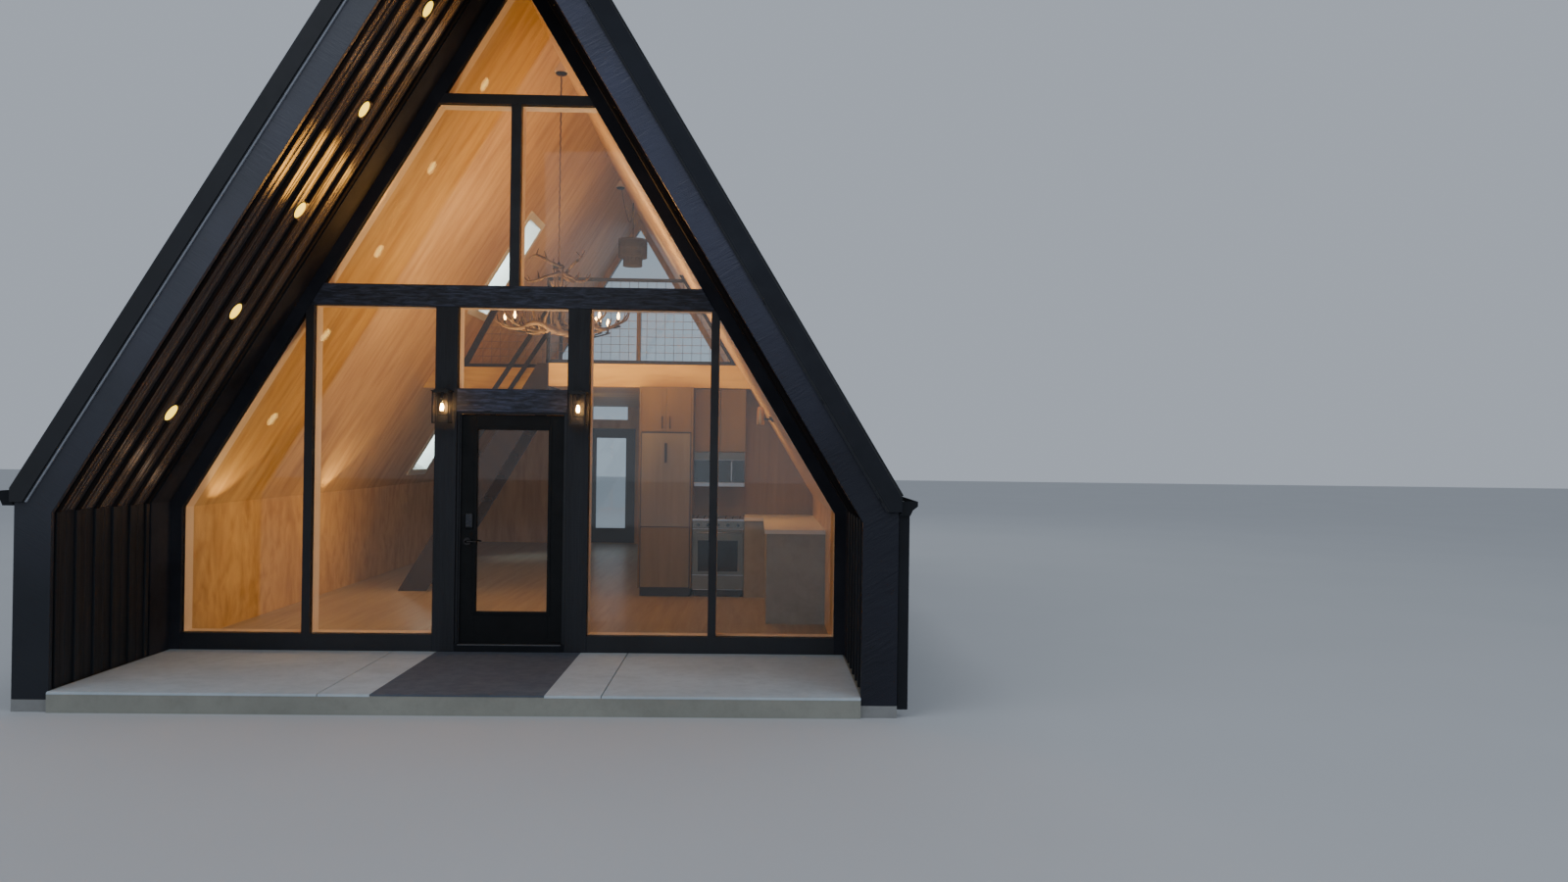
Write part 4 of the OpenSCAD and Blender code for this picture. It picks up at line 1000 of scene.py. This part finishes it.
for i in range(5):
    x = 1.47 + i * 0.116
    p.cyl((x, 5.190, SLAB + 0.900), (x, 5.200, SLAB + 0.900), 0.019, 18, 1)
p.box(1.400, 2.004, 5.194, 5.790, SLAB + 0.950, SLAB + 0.972, 0, 0.002)
for i in range(7):
    x = 1.45 + i * 0.084
    p.box(x - 0.005, x + 0.005, 5.26, 5.74, SLAB + 0.971, SLAB + 0.983, 1, 0.001)
# microwave: lit hood strip over a black door, steel strip below
p.box(1.402, 2.002, 5.420, 5.800, SLAB + 1.342, SLAB + 1.749, 0, 0.003)
p.box(1.404, 1.850, 5.402, 5.420, SLAB + 1.392, SLAB + 1.655, 1, 0.003)
p.box(1.854, 2.000, 5.402, 5.420, SLAB + 1.392, SLAB + 1.655, 1, 0.003)
p.box(1.404, 2.000, 5.404, 5.420, SLAB + 1.344, SLAB + 1.388, 0, 0.002)
p.box(1.404, 2.000, 5.404, 5.420, SLAB + 1.660, SLAB + 1.748, 2, 0.002)
p.box(1.838, 1.850, 5.400, 5.404, SLAB + 1.41, SLAB + 1.64, 0, 0.001)
p.make("kitchen_appliances", ["steel", "blackgloss", "steel_dim"], replaces=("appliances",))


# ---------------------------------------------------------------- hanging lights
def smooth_path(pts, n):
    pts = [Vector(q) for q in pts]
    out = []
    for i in range(len(pts) - 1):
        a, b, c, d = pts[max(0, i - 1)], pts[i], pts[i + 1], pts[min(len(pts) - 1, i + 2)]
        for k in range(n):
            t = k / n
            out.append(0.5 * ((2 * b) + (c - a) * t + (2 * a - 5 * b + 4 * c - d) * t * t + (3 * b - a - 3 * c + d) * t ** 3))
    out.append(pts[-1])
    return out


rnd = random.Random(7)


def antler(p, base, yaw, length, lift, curl, r0, tines=4):
    """One shed antler: a curved beam that swings out and up, with upturned tines."""
    ca, sa = math.cos(yaw), math.sin(yaw)

    def loc(u, v, h):
        return Vector((base[0] + ca * u - sa * v, base[1] + sa * u + ca * v, base[2] + h))

    ctrl = [loc(0, 0, 0), loc(length * 0.30, curl * 0.25, -lift * 0.30), loc(length * 0.62, curl * 0.65, -lift * 0.12),
            loc(length * 0.88, curl * 0.95, lift * 0.28), loc(length, curl, lift * 0.80)]
    path = smooth_path(ctrl, 6)
    n = len(path)
    radii = [r0 * (1.0 - 0.78 * (i / (n - 1)) ** 1.3) * (1 + 0.06 * math.sin(i * 1.7)) for i in range(n)]
    radii[-1] = 0.003
    p.tube(path, radii, 9, 0)
    for k in range(tines):
        i = int(n * (0.22 + 0.19 * k))
        q = path[i]
        d = (path[min(i + 1, n - 1)] - path[i - 1]).normalized()
        up = Vector((0, 0, 1))
        sidev = d.cross(up) * (0.35 if k % 2 else -0.35)
        h = (0.20 - 0.025 * k) * (length / 0.6)
        t1 = q + (up * 0.45 + d * 0.22 + sidev) * h
        t2 = q + (up * 0.98 + d * 0.30 + sidev * 1.2) * h
        tp = smooth_path([q, t1, t2], 5)
        m_ = len(tp)
        p.tube(tp, [max(0.0025, radii[i] * 0.72 * (1 - 0.92 * (j / (m_ - 1)))) for j in range(m_)], 8, 0)


def ridge_mount(p, y, wood, plate):
    """A block in the ridge with a round ceiling plate under it."""
    t = zr(LIN)
    p.prism([(-0.0664, t - 0.1100), (0.0664, t - 0.1100), (0, t - 0.0006)], "y", y - 0.060, y + 0.060, wood)
    p.lathe((0, y, t - 0.140), [(0.0, 0.0), (0.030, 0.0), (0.056, 0.010), (0.0638, 0.024), (0.0640, 0.030)], 32, plate)


p = Piece()
cy = 4.050
z_ch = SLAB + 2.98
top = zr(LIN)


def beam_antler(p, pts, r0, tines, tip=0.004):
    """A shed antler laid along measured points (x, y off the axis, height over the slab); tines are (place, dx, dy, dz)."""
    path = smooth_path([(x, cy + y, SLAB + z) for x, y, z in pts], 7)
    n = len(path)
    radii = [max(tip, r0 * (1.0 - 0.80 * (i / (n - 1)) ** 1.6) * (1 + 0.09 * math.sin(i * 1.3))) for i in range(n)]
    p.tube(path, radii, 10, 0)
    for at, dx, dy, dz in tines:
        i = min(n - 2, int(n * at))
        q = path[i]
        t1 = q + Vector((dx * 0.30, dy * 0.30, dz * 0.45))
        t2 = q + Vector((dx * 0.72, dy * 0.72, dz * 0.82))
        t3 = q + Vector((dx, dy, dz))
        tp = smooth_path([q, t1, t2, t3], 5)
        m_ = len(tp)
        p.tube(tp, [max(0.003, radii[i] * 0.80 * (1 - 0.88 * (j / (m_ - 1)))) for j in range(m_)], 8, 0)


# lower tier, front: one heavy beam to the left, one to the right
beam_antler(p, [(0.200, -0.080, 2.990), (0.110, -0.150, 2.985), (-0.034, -0.200, 3.025), (-0.140, -0.220, 3.085), (-0.238, -0.230, 3.085), (-0.330, -0.220, 3.040),
                (-0.430, -0.190, 3.035), (-0.540, -0.140, 3.060), (-0.610, -0.080, 3.110), (-0.640, -0.030, 3.190)], 0.034,
            [(0.16, -0.06, -0.03, 0.18), (0.30, 0.07, -0.05, 0.15), (0.40, -0.05, 0.03, 0.17), (0.52, 0.03, -0.04, -0.075), (0.62, 0.05, 0.03, 0.13), (0.80, -0.09, 0.02, 0.05)])
beam_antler(p, [(-0.060, -0.060, 3.060), (0.120, -0.120, 3.040), (0.260, -0.160, 3.075), (0.372, -0.170, 3.085), (0.450, -0.160, 3.045), (0.540, -0.140, 3.045),
                (0.644, -0.100, 3.100), (0.730, -0.050, 3.150), (0.760, 0.000, 3.230)], 0.030,
            [(0.20, 0.05, -0.04, 0.17), (0.36, 0.04, -0.05, 0.12), (0.50, -0.07, 0.02, 0.13), (0.64, 0.04, -0.05, 0.10), (0.80, 0.06, 0.02, 0.07)])
# lower tier, sides and back
for k, (a, ln, lift) in enumerate(((2.75, 0.66, 0.22), (2.10, 0.62, 0.24), (1.45, 0.60, 0.22), (0.80, 0.62, 0.24), (0.25, 0.66, 0.22), (-0.65, 0.52, 0.22), (-2.35, 0.52, 0.22))):
    antler(p, (0.08 * math.cos(a), cy + 0.08 * math.sin(a), z_ch + 0.10 + 0.03 * (k % 2)), a, ln, lift, 0.15 * (1 if k % 2 else -1), 0.022)
# stem of upright antlers, then the upper tier at its head
for k in range(5):
    a = 2 * math.pi * k / 5 + 0.4
    st = [(0.045 * math.cos(a), 0.045 * math.sin(a), 3.00), (0.062 * math.cos(a + 0.5), 0.062 * math.sin(a + 0.5), 3.22), (0.040 * math.cos(a + 1.2), 0.040 * math.sin(a + 1.2), 3.48),
          (0.055 * math.cos(a + 1.7), 0.055 * math.sin(a + 1.7), 3.70)]
    beam_antler(p, st, 0.022, [(0.35, 0.10 * math.cos(a), 0.10 * math.sin(a), 0.13), (0.60, 0.09 * math.cos(a + 1), 0.09 * math.sin(a + 1), 0.12)], 0.010)
for pts, tn in (([(0.041, -0.03, 3.700), (-0.060, -0.07, 3.745), (-0.186, -0.10, 3.809), (-0.250, -0.10, 3.815), (-0.300, -0.09, 3.775)], [(0.35, -0.02, -0.02, 0.09), (0.6, 0.03, -0.03, 0.07)]),
                ([(0.090, -0.02, 3.650), (0.160, -0.06, 3.730), (0.245, -0.08, 3.802), (0.285, -0.07, 3.880)], [(0.4, 0.06, -0.02, 0.02), (0.65, -0.05, -0.02, 0.06)]),
                ([(0.020, -0.05, 3.640), (-0.120, -0.10, 3.590), (-0.230, -0.11, 3.545), (-0.310, -0.08, 3.545), (-0.350, -0.05, 3.590)], [(0.4, -0.02, 0.02, 0.09), (0.65, -0.03, -0.03, 0.06)]),
                ([(0.060, -0.04, 3.640), (0.150, -0.08, 3.590), (0.253, -0.09, 3.548), (0.320, -0.06, 3.580), (0.345, -0.03, 3.640)], [(0.4, 0.02, 0.02, 0.09), (0.65, 0.03, -0.03, 0.06)]),
                ([(0.0, 0.05, 3.660), (-0.05, 0.16, 3.700), (-0.10, 0.26, 3.760), (-0.11, 0.31, 3.850)], [(0.5, -0.05, 0.0, 0.07)]),
                ([(0.03, 0.05, 3.620), (0.09, 0.16, 3.590), (0.15, 0.25, 3.600), (0.17, 0.30, 3.680)], [(0.5, 0.05, 0.0, 0.08)])):
    beam_antler(p, pts, 0.018, tn)
p.lathe((0, cy, SLAB + 3.700), [(0.0, 0.0), (0.058, 0.004), (0.062, 0.018), (0.050, 0.034), (0.018, 0.040), (0.012, 0.060), (0.0, 0.062)], 24, 2)
# rope and ceiling plate
rp = []
zz0, zz1 = z_ch + 0.770, top - 0.128
for i in range(121):
    t = i / 120
    rp.append((0.0022 * math.cos(i * 1.2), cy + 0.0022 * math.sin(i * 1.2), zz0 + (zz1 - zz0) * t))
p.tube(rp, 0.0085, 8, 1)
ridge_mount(p, cy, 4, 2)
# candle sleeves, cups and bulbs
for x, y, z in ((-0.548, -0.06, 3.120), (-0.466, 0.04, 3.150), (0.36, 0.32, 3.13), (0.455, -0.11, 3.140), (0.530, 0.02, 3.075), (0.645, -0.02, 3.145), (0.440, 0.06, 3.080)):
    c = (x, cy + y, SLAB + z)
    p.lathe(c, [(0.0, -0.070), (0.018, -0.070), (0.030, -0.060), (0.030, -0.056), (0.012, -0.054), (0.012, 0.010), (0.0, 0.010)], 18, 2)
    p.lathe(c, [(0.005, 0.010), (0.011, 0.022), (0.0150, 0.040), (0.0130, 0.060), (0.0070, 0.080), (0.0, 0.092)], 16, 3)
    # arm from the hub to the cup
    p.tube(smooth_path([(0.03 * (1 if x > 0 else -1), cy + 0.02, SLAB + 3.05), (x * 0.55, cy + y * 0.55, SLAB + z - 0.115), (x, cy + y, SLAB + z - 0.068)], 6), 0.008, 8, 2)
p.make("antler_chandelier", ["antler", "rope", "blackmetal", "bulbglow", "trimwood"], replaces=("chandelier",))

p = Piece()
wx, wy, wz = 0.200, 9.600, SLAB
for r, h0, h1 in ((0.150, 4.575, 4.700), (0.223, 4.704, 4.990)):
    rows = int((h1 - h0) / 0.021)
    for j in range(rows + 1):
        z = wz + h0 + 0.006 + (h1 - h0 - 0.012) * j / rows
        rr = r - 0.007
        ring = [(wx + (rr + 0.0035 * math.cos(8 * a + math.pi * j)) * math.cos(a), wy + (rr + 0.0035 * math.cos(8 * a + math.pi * j)) * math.sin(a), z)
                for a in [2 * math.pi * k / 40 for k in range(41)]]
        p.tube(ring, 0.0055, 6, 0, cap=True)
    for k in range(16):
        a = 2 * math.pi * k / 16
        p.tube([(wx + (r - 0.007) * math.cos(a), wy + (r - 0.007) * math.sin(a), wz + h0 + 0.002),
                (wx + (r - 0.007) * math.cos(a), wy + (r - 0.007) * math.sin(a), wz + h1 - 0.002)], 0.0042, 6, 0)
# shoulder, lid and the lamp holder inside
for k in range(16):
    a = 2 * math.pi * k / 16
    p.tube([(wx + 0.145 * math.cos(a), wy + 0.145 * math.sin(a), wz + 4.700), (wx + 0.216 * math.cos(a), wy + 0.216 * math.sin(a), wz + 4.708)], 0.0042, 6, 0)
for k in range(8):
    a = 2 * math.pi * k / 8
    p.tube([(wx, wy, wz + 4.984), (wx + 0.214 * math.cos(a), wy + 0.214 * math.sin(a), wz + 4.984)], 0.0050, 6, 0)
p.cyl((wx, wy, wz + 4.890), (wx, wy, wz + 4.985), 0.018, 16, 1)
ztop = ZK + T * (HI + LIN / S - wx) - 0.014
z = wz + 4.984
i = 0
while z < ztop - 0.036:
    a = 0 if i % 2 else math.pi / 2
    loop = [(wx + 0.0068 * math.cos(a) * math.cos(t), wy + 0.0068 * math.sin(a) * math.cos(t), z + 0.017 + 0.017 * math.sin(t)) for t in [2 * math.pi * q / 12 for q in range(13)]]
    p.tube(loop, 0.0022, 6, 1)
    z += 0.0295
    i += 1
p.tube([(wx, wy, z - 0.004), (wx, wy, ztop)], 0.0060, 10, 1)
# close-woven inner shade
p.lathe((wx, wy, wz), [(0.0, 4.578), (0.136, 4.578), (0.136, 4.702), (0.209, 4.708), (0.209, 4.978), (0.205, 4.978), (0.205, 4.712), (0.132, 4.706),
                       (0.132, 4.582), (0.0, 4.582)], 40, 0)
# ceiling plate at the ridge and the slack cord to the hook
ridge_mount(p, wy, 5, 1)
p.tube(smooth_path([(0.020, wy, zr(LIN) - 0.139), (0.045, wy, SLAB + 5.600), (0.100, wy, SLAB + 5.360), (0.145, wy, SLAB + 5.255), (0.176, wy, SLAB + 5.330),
                    (0.190, wy - 0.004, SLAB + 5.440), (0.1955, wy - 0.004, ztop - 0.010)], 5), 0.0042, 7, 1)
p.lathe((2.174, 3.600, SLAB + 2.045), [(0.0395, 0.0), (0.0418, 0.002), (0.0408, 0.060), (0.0372, 0.150), (0.0300, 0.182), (0.0120, 0.189), (0.0, 0.190)], 32, 2)
p.cyl((2.174, 3.600, SLAB + 2.105), (2.2950, 3.600, SLAB + 2.105), 0.0085, 14, 1)
p.prism([(2.2925, SLAB + 2.075), (2.3160, SLAB + 2.075), (2.2800, SLAB + 2.135), (2.2565, SLAB + 2.135)], "y", 3.570, 3.630, 1, 0.002)
p.lathe((2.174, 3.600, SLAB + 2.055), [(0.0, 0.0), (0.022, 0.01), (0.028, 0.03), (0.020, 0.05), (0.0, 0.06)], 18, 3)
p.make("hanging_and_wall_lights", ["woven", "blackmetal", "brass", "bulbglow", "lampglass", "trimwood"], replaces=("small_lights",))


# ---------------------------------------------------------------- stage, lights
def floor():
    me = bpy.data.meshes.new("studio_floor")
    s = 60.0
    me.from_pydata([(-s, -s, 0), (s, -s, 0), (s, s, 0), (-s, s, 0)], [], [(0, 1, 2, 3)])
    ob = bpy.data.objects.new("studio_floor", me)
    bpy.context.scene.collection.objects.link(ob)
    m = Mat("studio_floor_pale")
    v = m.coords()
    c = m.mix(m.noise(v, 0.4, 3, 0.5), (0.50, 0.51, 0.52), (0.54, 0.55, 0.56))
    m.set(color=c, rough=0.9, spec=0.2)
    me.materials.append(m.m)


floor()


def area(name, loc, target, size, power, col, shape="SQUARE", spread=180.0):
    d = bpy.data.lights.new(name, "AREA")
    d.energy = power
    d.color = col
    d.shape = shape
    d.size = size
    d.spread = math.radians(spread)
    ob = bpy.data.objects.new(name, d)
    bpy.context.scene.collection.objects.link(ob)
    a = Vector((loc[0], loc[1] - LEN / 2, loc[2]))
    b = Vector((target[0], target[1] - LEN / 2, target[2]))
    ob.matrix_world = Matrix.Translation(a) @ (b - a).to_track_quat("-Z", "Y").to_matrix().to_4x4()
    ob.visible_camera = False
    return ob


def soft(ob):
    """A room light that leaves no mirror image or sheen of its own."""
    ob.data.specular_factor = 0.0
    ob.visible_glossy = False
    return ob


def point(name, loc, power, col, radius=0.05):
    d = bpy.data.lights.new(name, "POINT")
    d.energy = power
    d.color = col
    d.shadow_soft_size = radius
    ob = bpy.data.objects.new(name, d)
    bpy.context.scene.collection.objects.link(ob)
    ob.matrix_world = Matrix.Translation((loc[0], loc[1] - LEN / 2, loc[2]))
    ob.visible_camera = False
    return soft(ob)


def spot(name, loc, target, power, col, cone, blend=0.15, radius=0.05):
    d = bpy.data.lights.new(name, "SPOT")
    d.energy = power
    d.color = col
    d.spot_size = math.radians(cone)
    d.spot_blend = blend
    d.shadow_soft_size = radius
    ob = bpy.data.objects.new(name, d)
    bpy.context.scene.collection.objects.link(ob)
    a = Vector((loc[0], loc[1] - LEN / 2, loc[2]))
    b = Vector((target[0], target[1] - LEN / 2, target[2]))
    ob.matrix_world = Matrix.Translation(a) @ (b - a).to_track_quat("-Z", "Y").to_matrix().to_4x4()
    ob.visible_camera = False
    return soft(ob)


world = bpy.data.worlds.new("studio")
bpy.context.scene.world = world
world.use_nodes = True
bg = world.node_tree.nodes["Background"]
bg.inputs[0].default_value = (0.72, 0.80, 0.92, 1)
bg.inputs[1].default_value = 0.55

area("key_front", (-6, -7, 15), (0, 1, 2.5), 10.0, 420, (0.86, 0.92, 1.0))
area("front_fill", (2, -16, 4), (0, 0, 2.5), 10.0, 120, (0.80, 0.88, 1.0))
area("fill_right", (12, -8, 11), (0, 2, 3), 9.0, 330, (0.84, 0.91, 1.0))
area("back_top", (0, 18, 14), (0, 6, 3), 10.0, 420, (0.9, 0.95, 1.0))

WARM = (1.0, 0.60, 0.26)
# the porch lamps light the porch a little; their shine on the soffit is set apart below
for side in (-1, 1):
    for k, z in enumerate(LAMP_Z):
        m_ = slope(side, 0.025, z)
        area("porch_down_%d_%d" % (side, k), m_ @ Vector((0, LAMP_Y, -0.0085)), m_ @ Vector((0, LAMP_Y, -1.0)), 0.134, 0.42, (1.0, 0.62, 0.20), "DISK")
for side in (-1, 1):
    for nm, x, z, w, h, tx, tz, power, hue in (("high", 0.92, 3.66, 0.46, 0.60, 1.35, 3.99, 11.0, (1.0, 0.44, 0.07)),
                                               ("low", 2.52, 1.24, 0.40, 0.16, 2.72, 1.62, 0.16, (1.0, 0.66, 0.42)),
                                               ("top", 0.36, 4.82, 0.30, 0.80, 0.70, 4.90, 0.60, (1.0, 0.62, 0.36))):
        ob = area("soffit_shine_%s_%d" % (nm, side), (side * x, 1.715, SLAB + z), (side * tx, 0.60, SLAB + tz), w, power, hue, "RECTANGLE")
        ob.data.size_y = h
        ob.data.diffuse_factor = 0.0

# the room behind the glass
soft(area("room_wash_left", (0.7, 3.3, SLAB + 1.5), (-1.9, 3.8, SLAB + 2.9), 1.3, 64, (1.0, 0.58, 0.245), "DISK"))
soft(area("room_wash_right", (-0.7, 3.75, SLAB + 2.2), (1.2, 4.4, SLAB + 4.2), 1.0, 70, (1.0, 0.60, 0.24), "DISK", 110.0))
soft(area("room_wash_high", (0.0, 3.2, SLAB + 2.6), (0.0, 3.6, SLAB + 5.6), 0.9, 36, (1.0, 0.66, 0.34), "DISK"))
for nm, y0, y1, zb, ln, power in (("lower", 8.08, 8.83, 1.43, 1.18, 50.0), ("upper", 6.27, 7.02, 3.506, 1.36, 48.0)):
    m_ = slope(-1, 0.0, SLAB + zb)
    soft(area("daylight_shaft_" + nm, m_ @ Vector((0.5 * ln, y0 - 0.20, 0.85)), m_ @ Vector((0.5 * ln, y1, 0.15)), 0.45, power, (0.84, 0.96, 0.95), "SQUARE", 110.0))
spot("room_lamp_second", (-2.566, 4.95, SLAB + 1.06), (-2.566, 4.95, SLAB + 2.2), 18, (1.0, 0.62, 0.26), 82, 0.10, 0.05)
spot("room_lamp_front", (-2.566, 2.25, SLAB + 1.06), (-2.566, 2.25, SLAB + 2.2), 18, (1.0, 0.62, 0.26), 82, 0.10, 0.05)
point("room_lamp_low", (-2.20, 2.75, SLAB + 0.90), 5.5, (1.0, 0.72, 0.44), 0.12)
point("room_lamp_back", (-2.10, 4.95, SLAB + 1.10), 13, (1.0, 0.60, 0.24), 0.12)
point("chandelier_glow", (0, 4.05, SLAB + 3.40), 34, (1.0, 0.62, 0.30), 0.25)
point("kitchen_glow", (1.9, 4.5, SLAB + 2.0), 10, (1.0, 0.60, 0.24), 0.2)
point("loft_glow", (0.3, 7.4, SLAB + 4.2), 22, (1.0, 0.66, 0.36), 0.2)
point("loft_glow_back", (0.2, 10.6, SLAB + 3.6), 14, (1.0, 0.70, 0.42), 0.2)
point("under_loft_glow", (-0.6, 7.6, SLAB + 2.2), 12, (1.0, 0.70, 0.42), 0.2)
for x in (-0.585, 0.585):
    point("lantern_light_%d" % int(x * 1000), (x, RECESS - 0.200, SLAB + 2.10), 0.45, (1.0, 0.56, 0.24), 0.03)
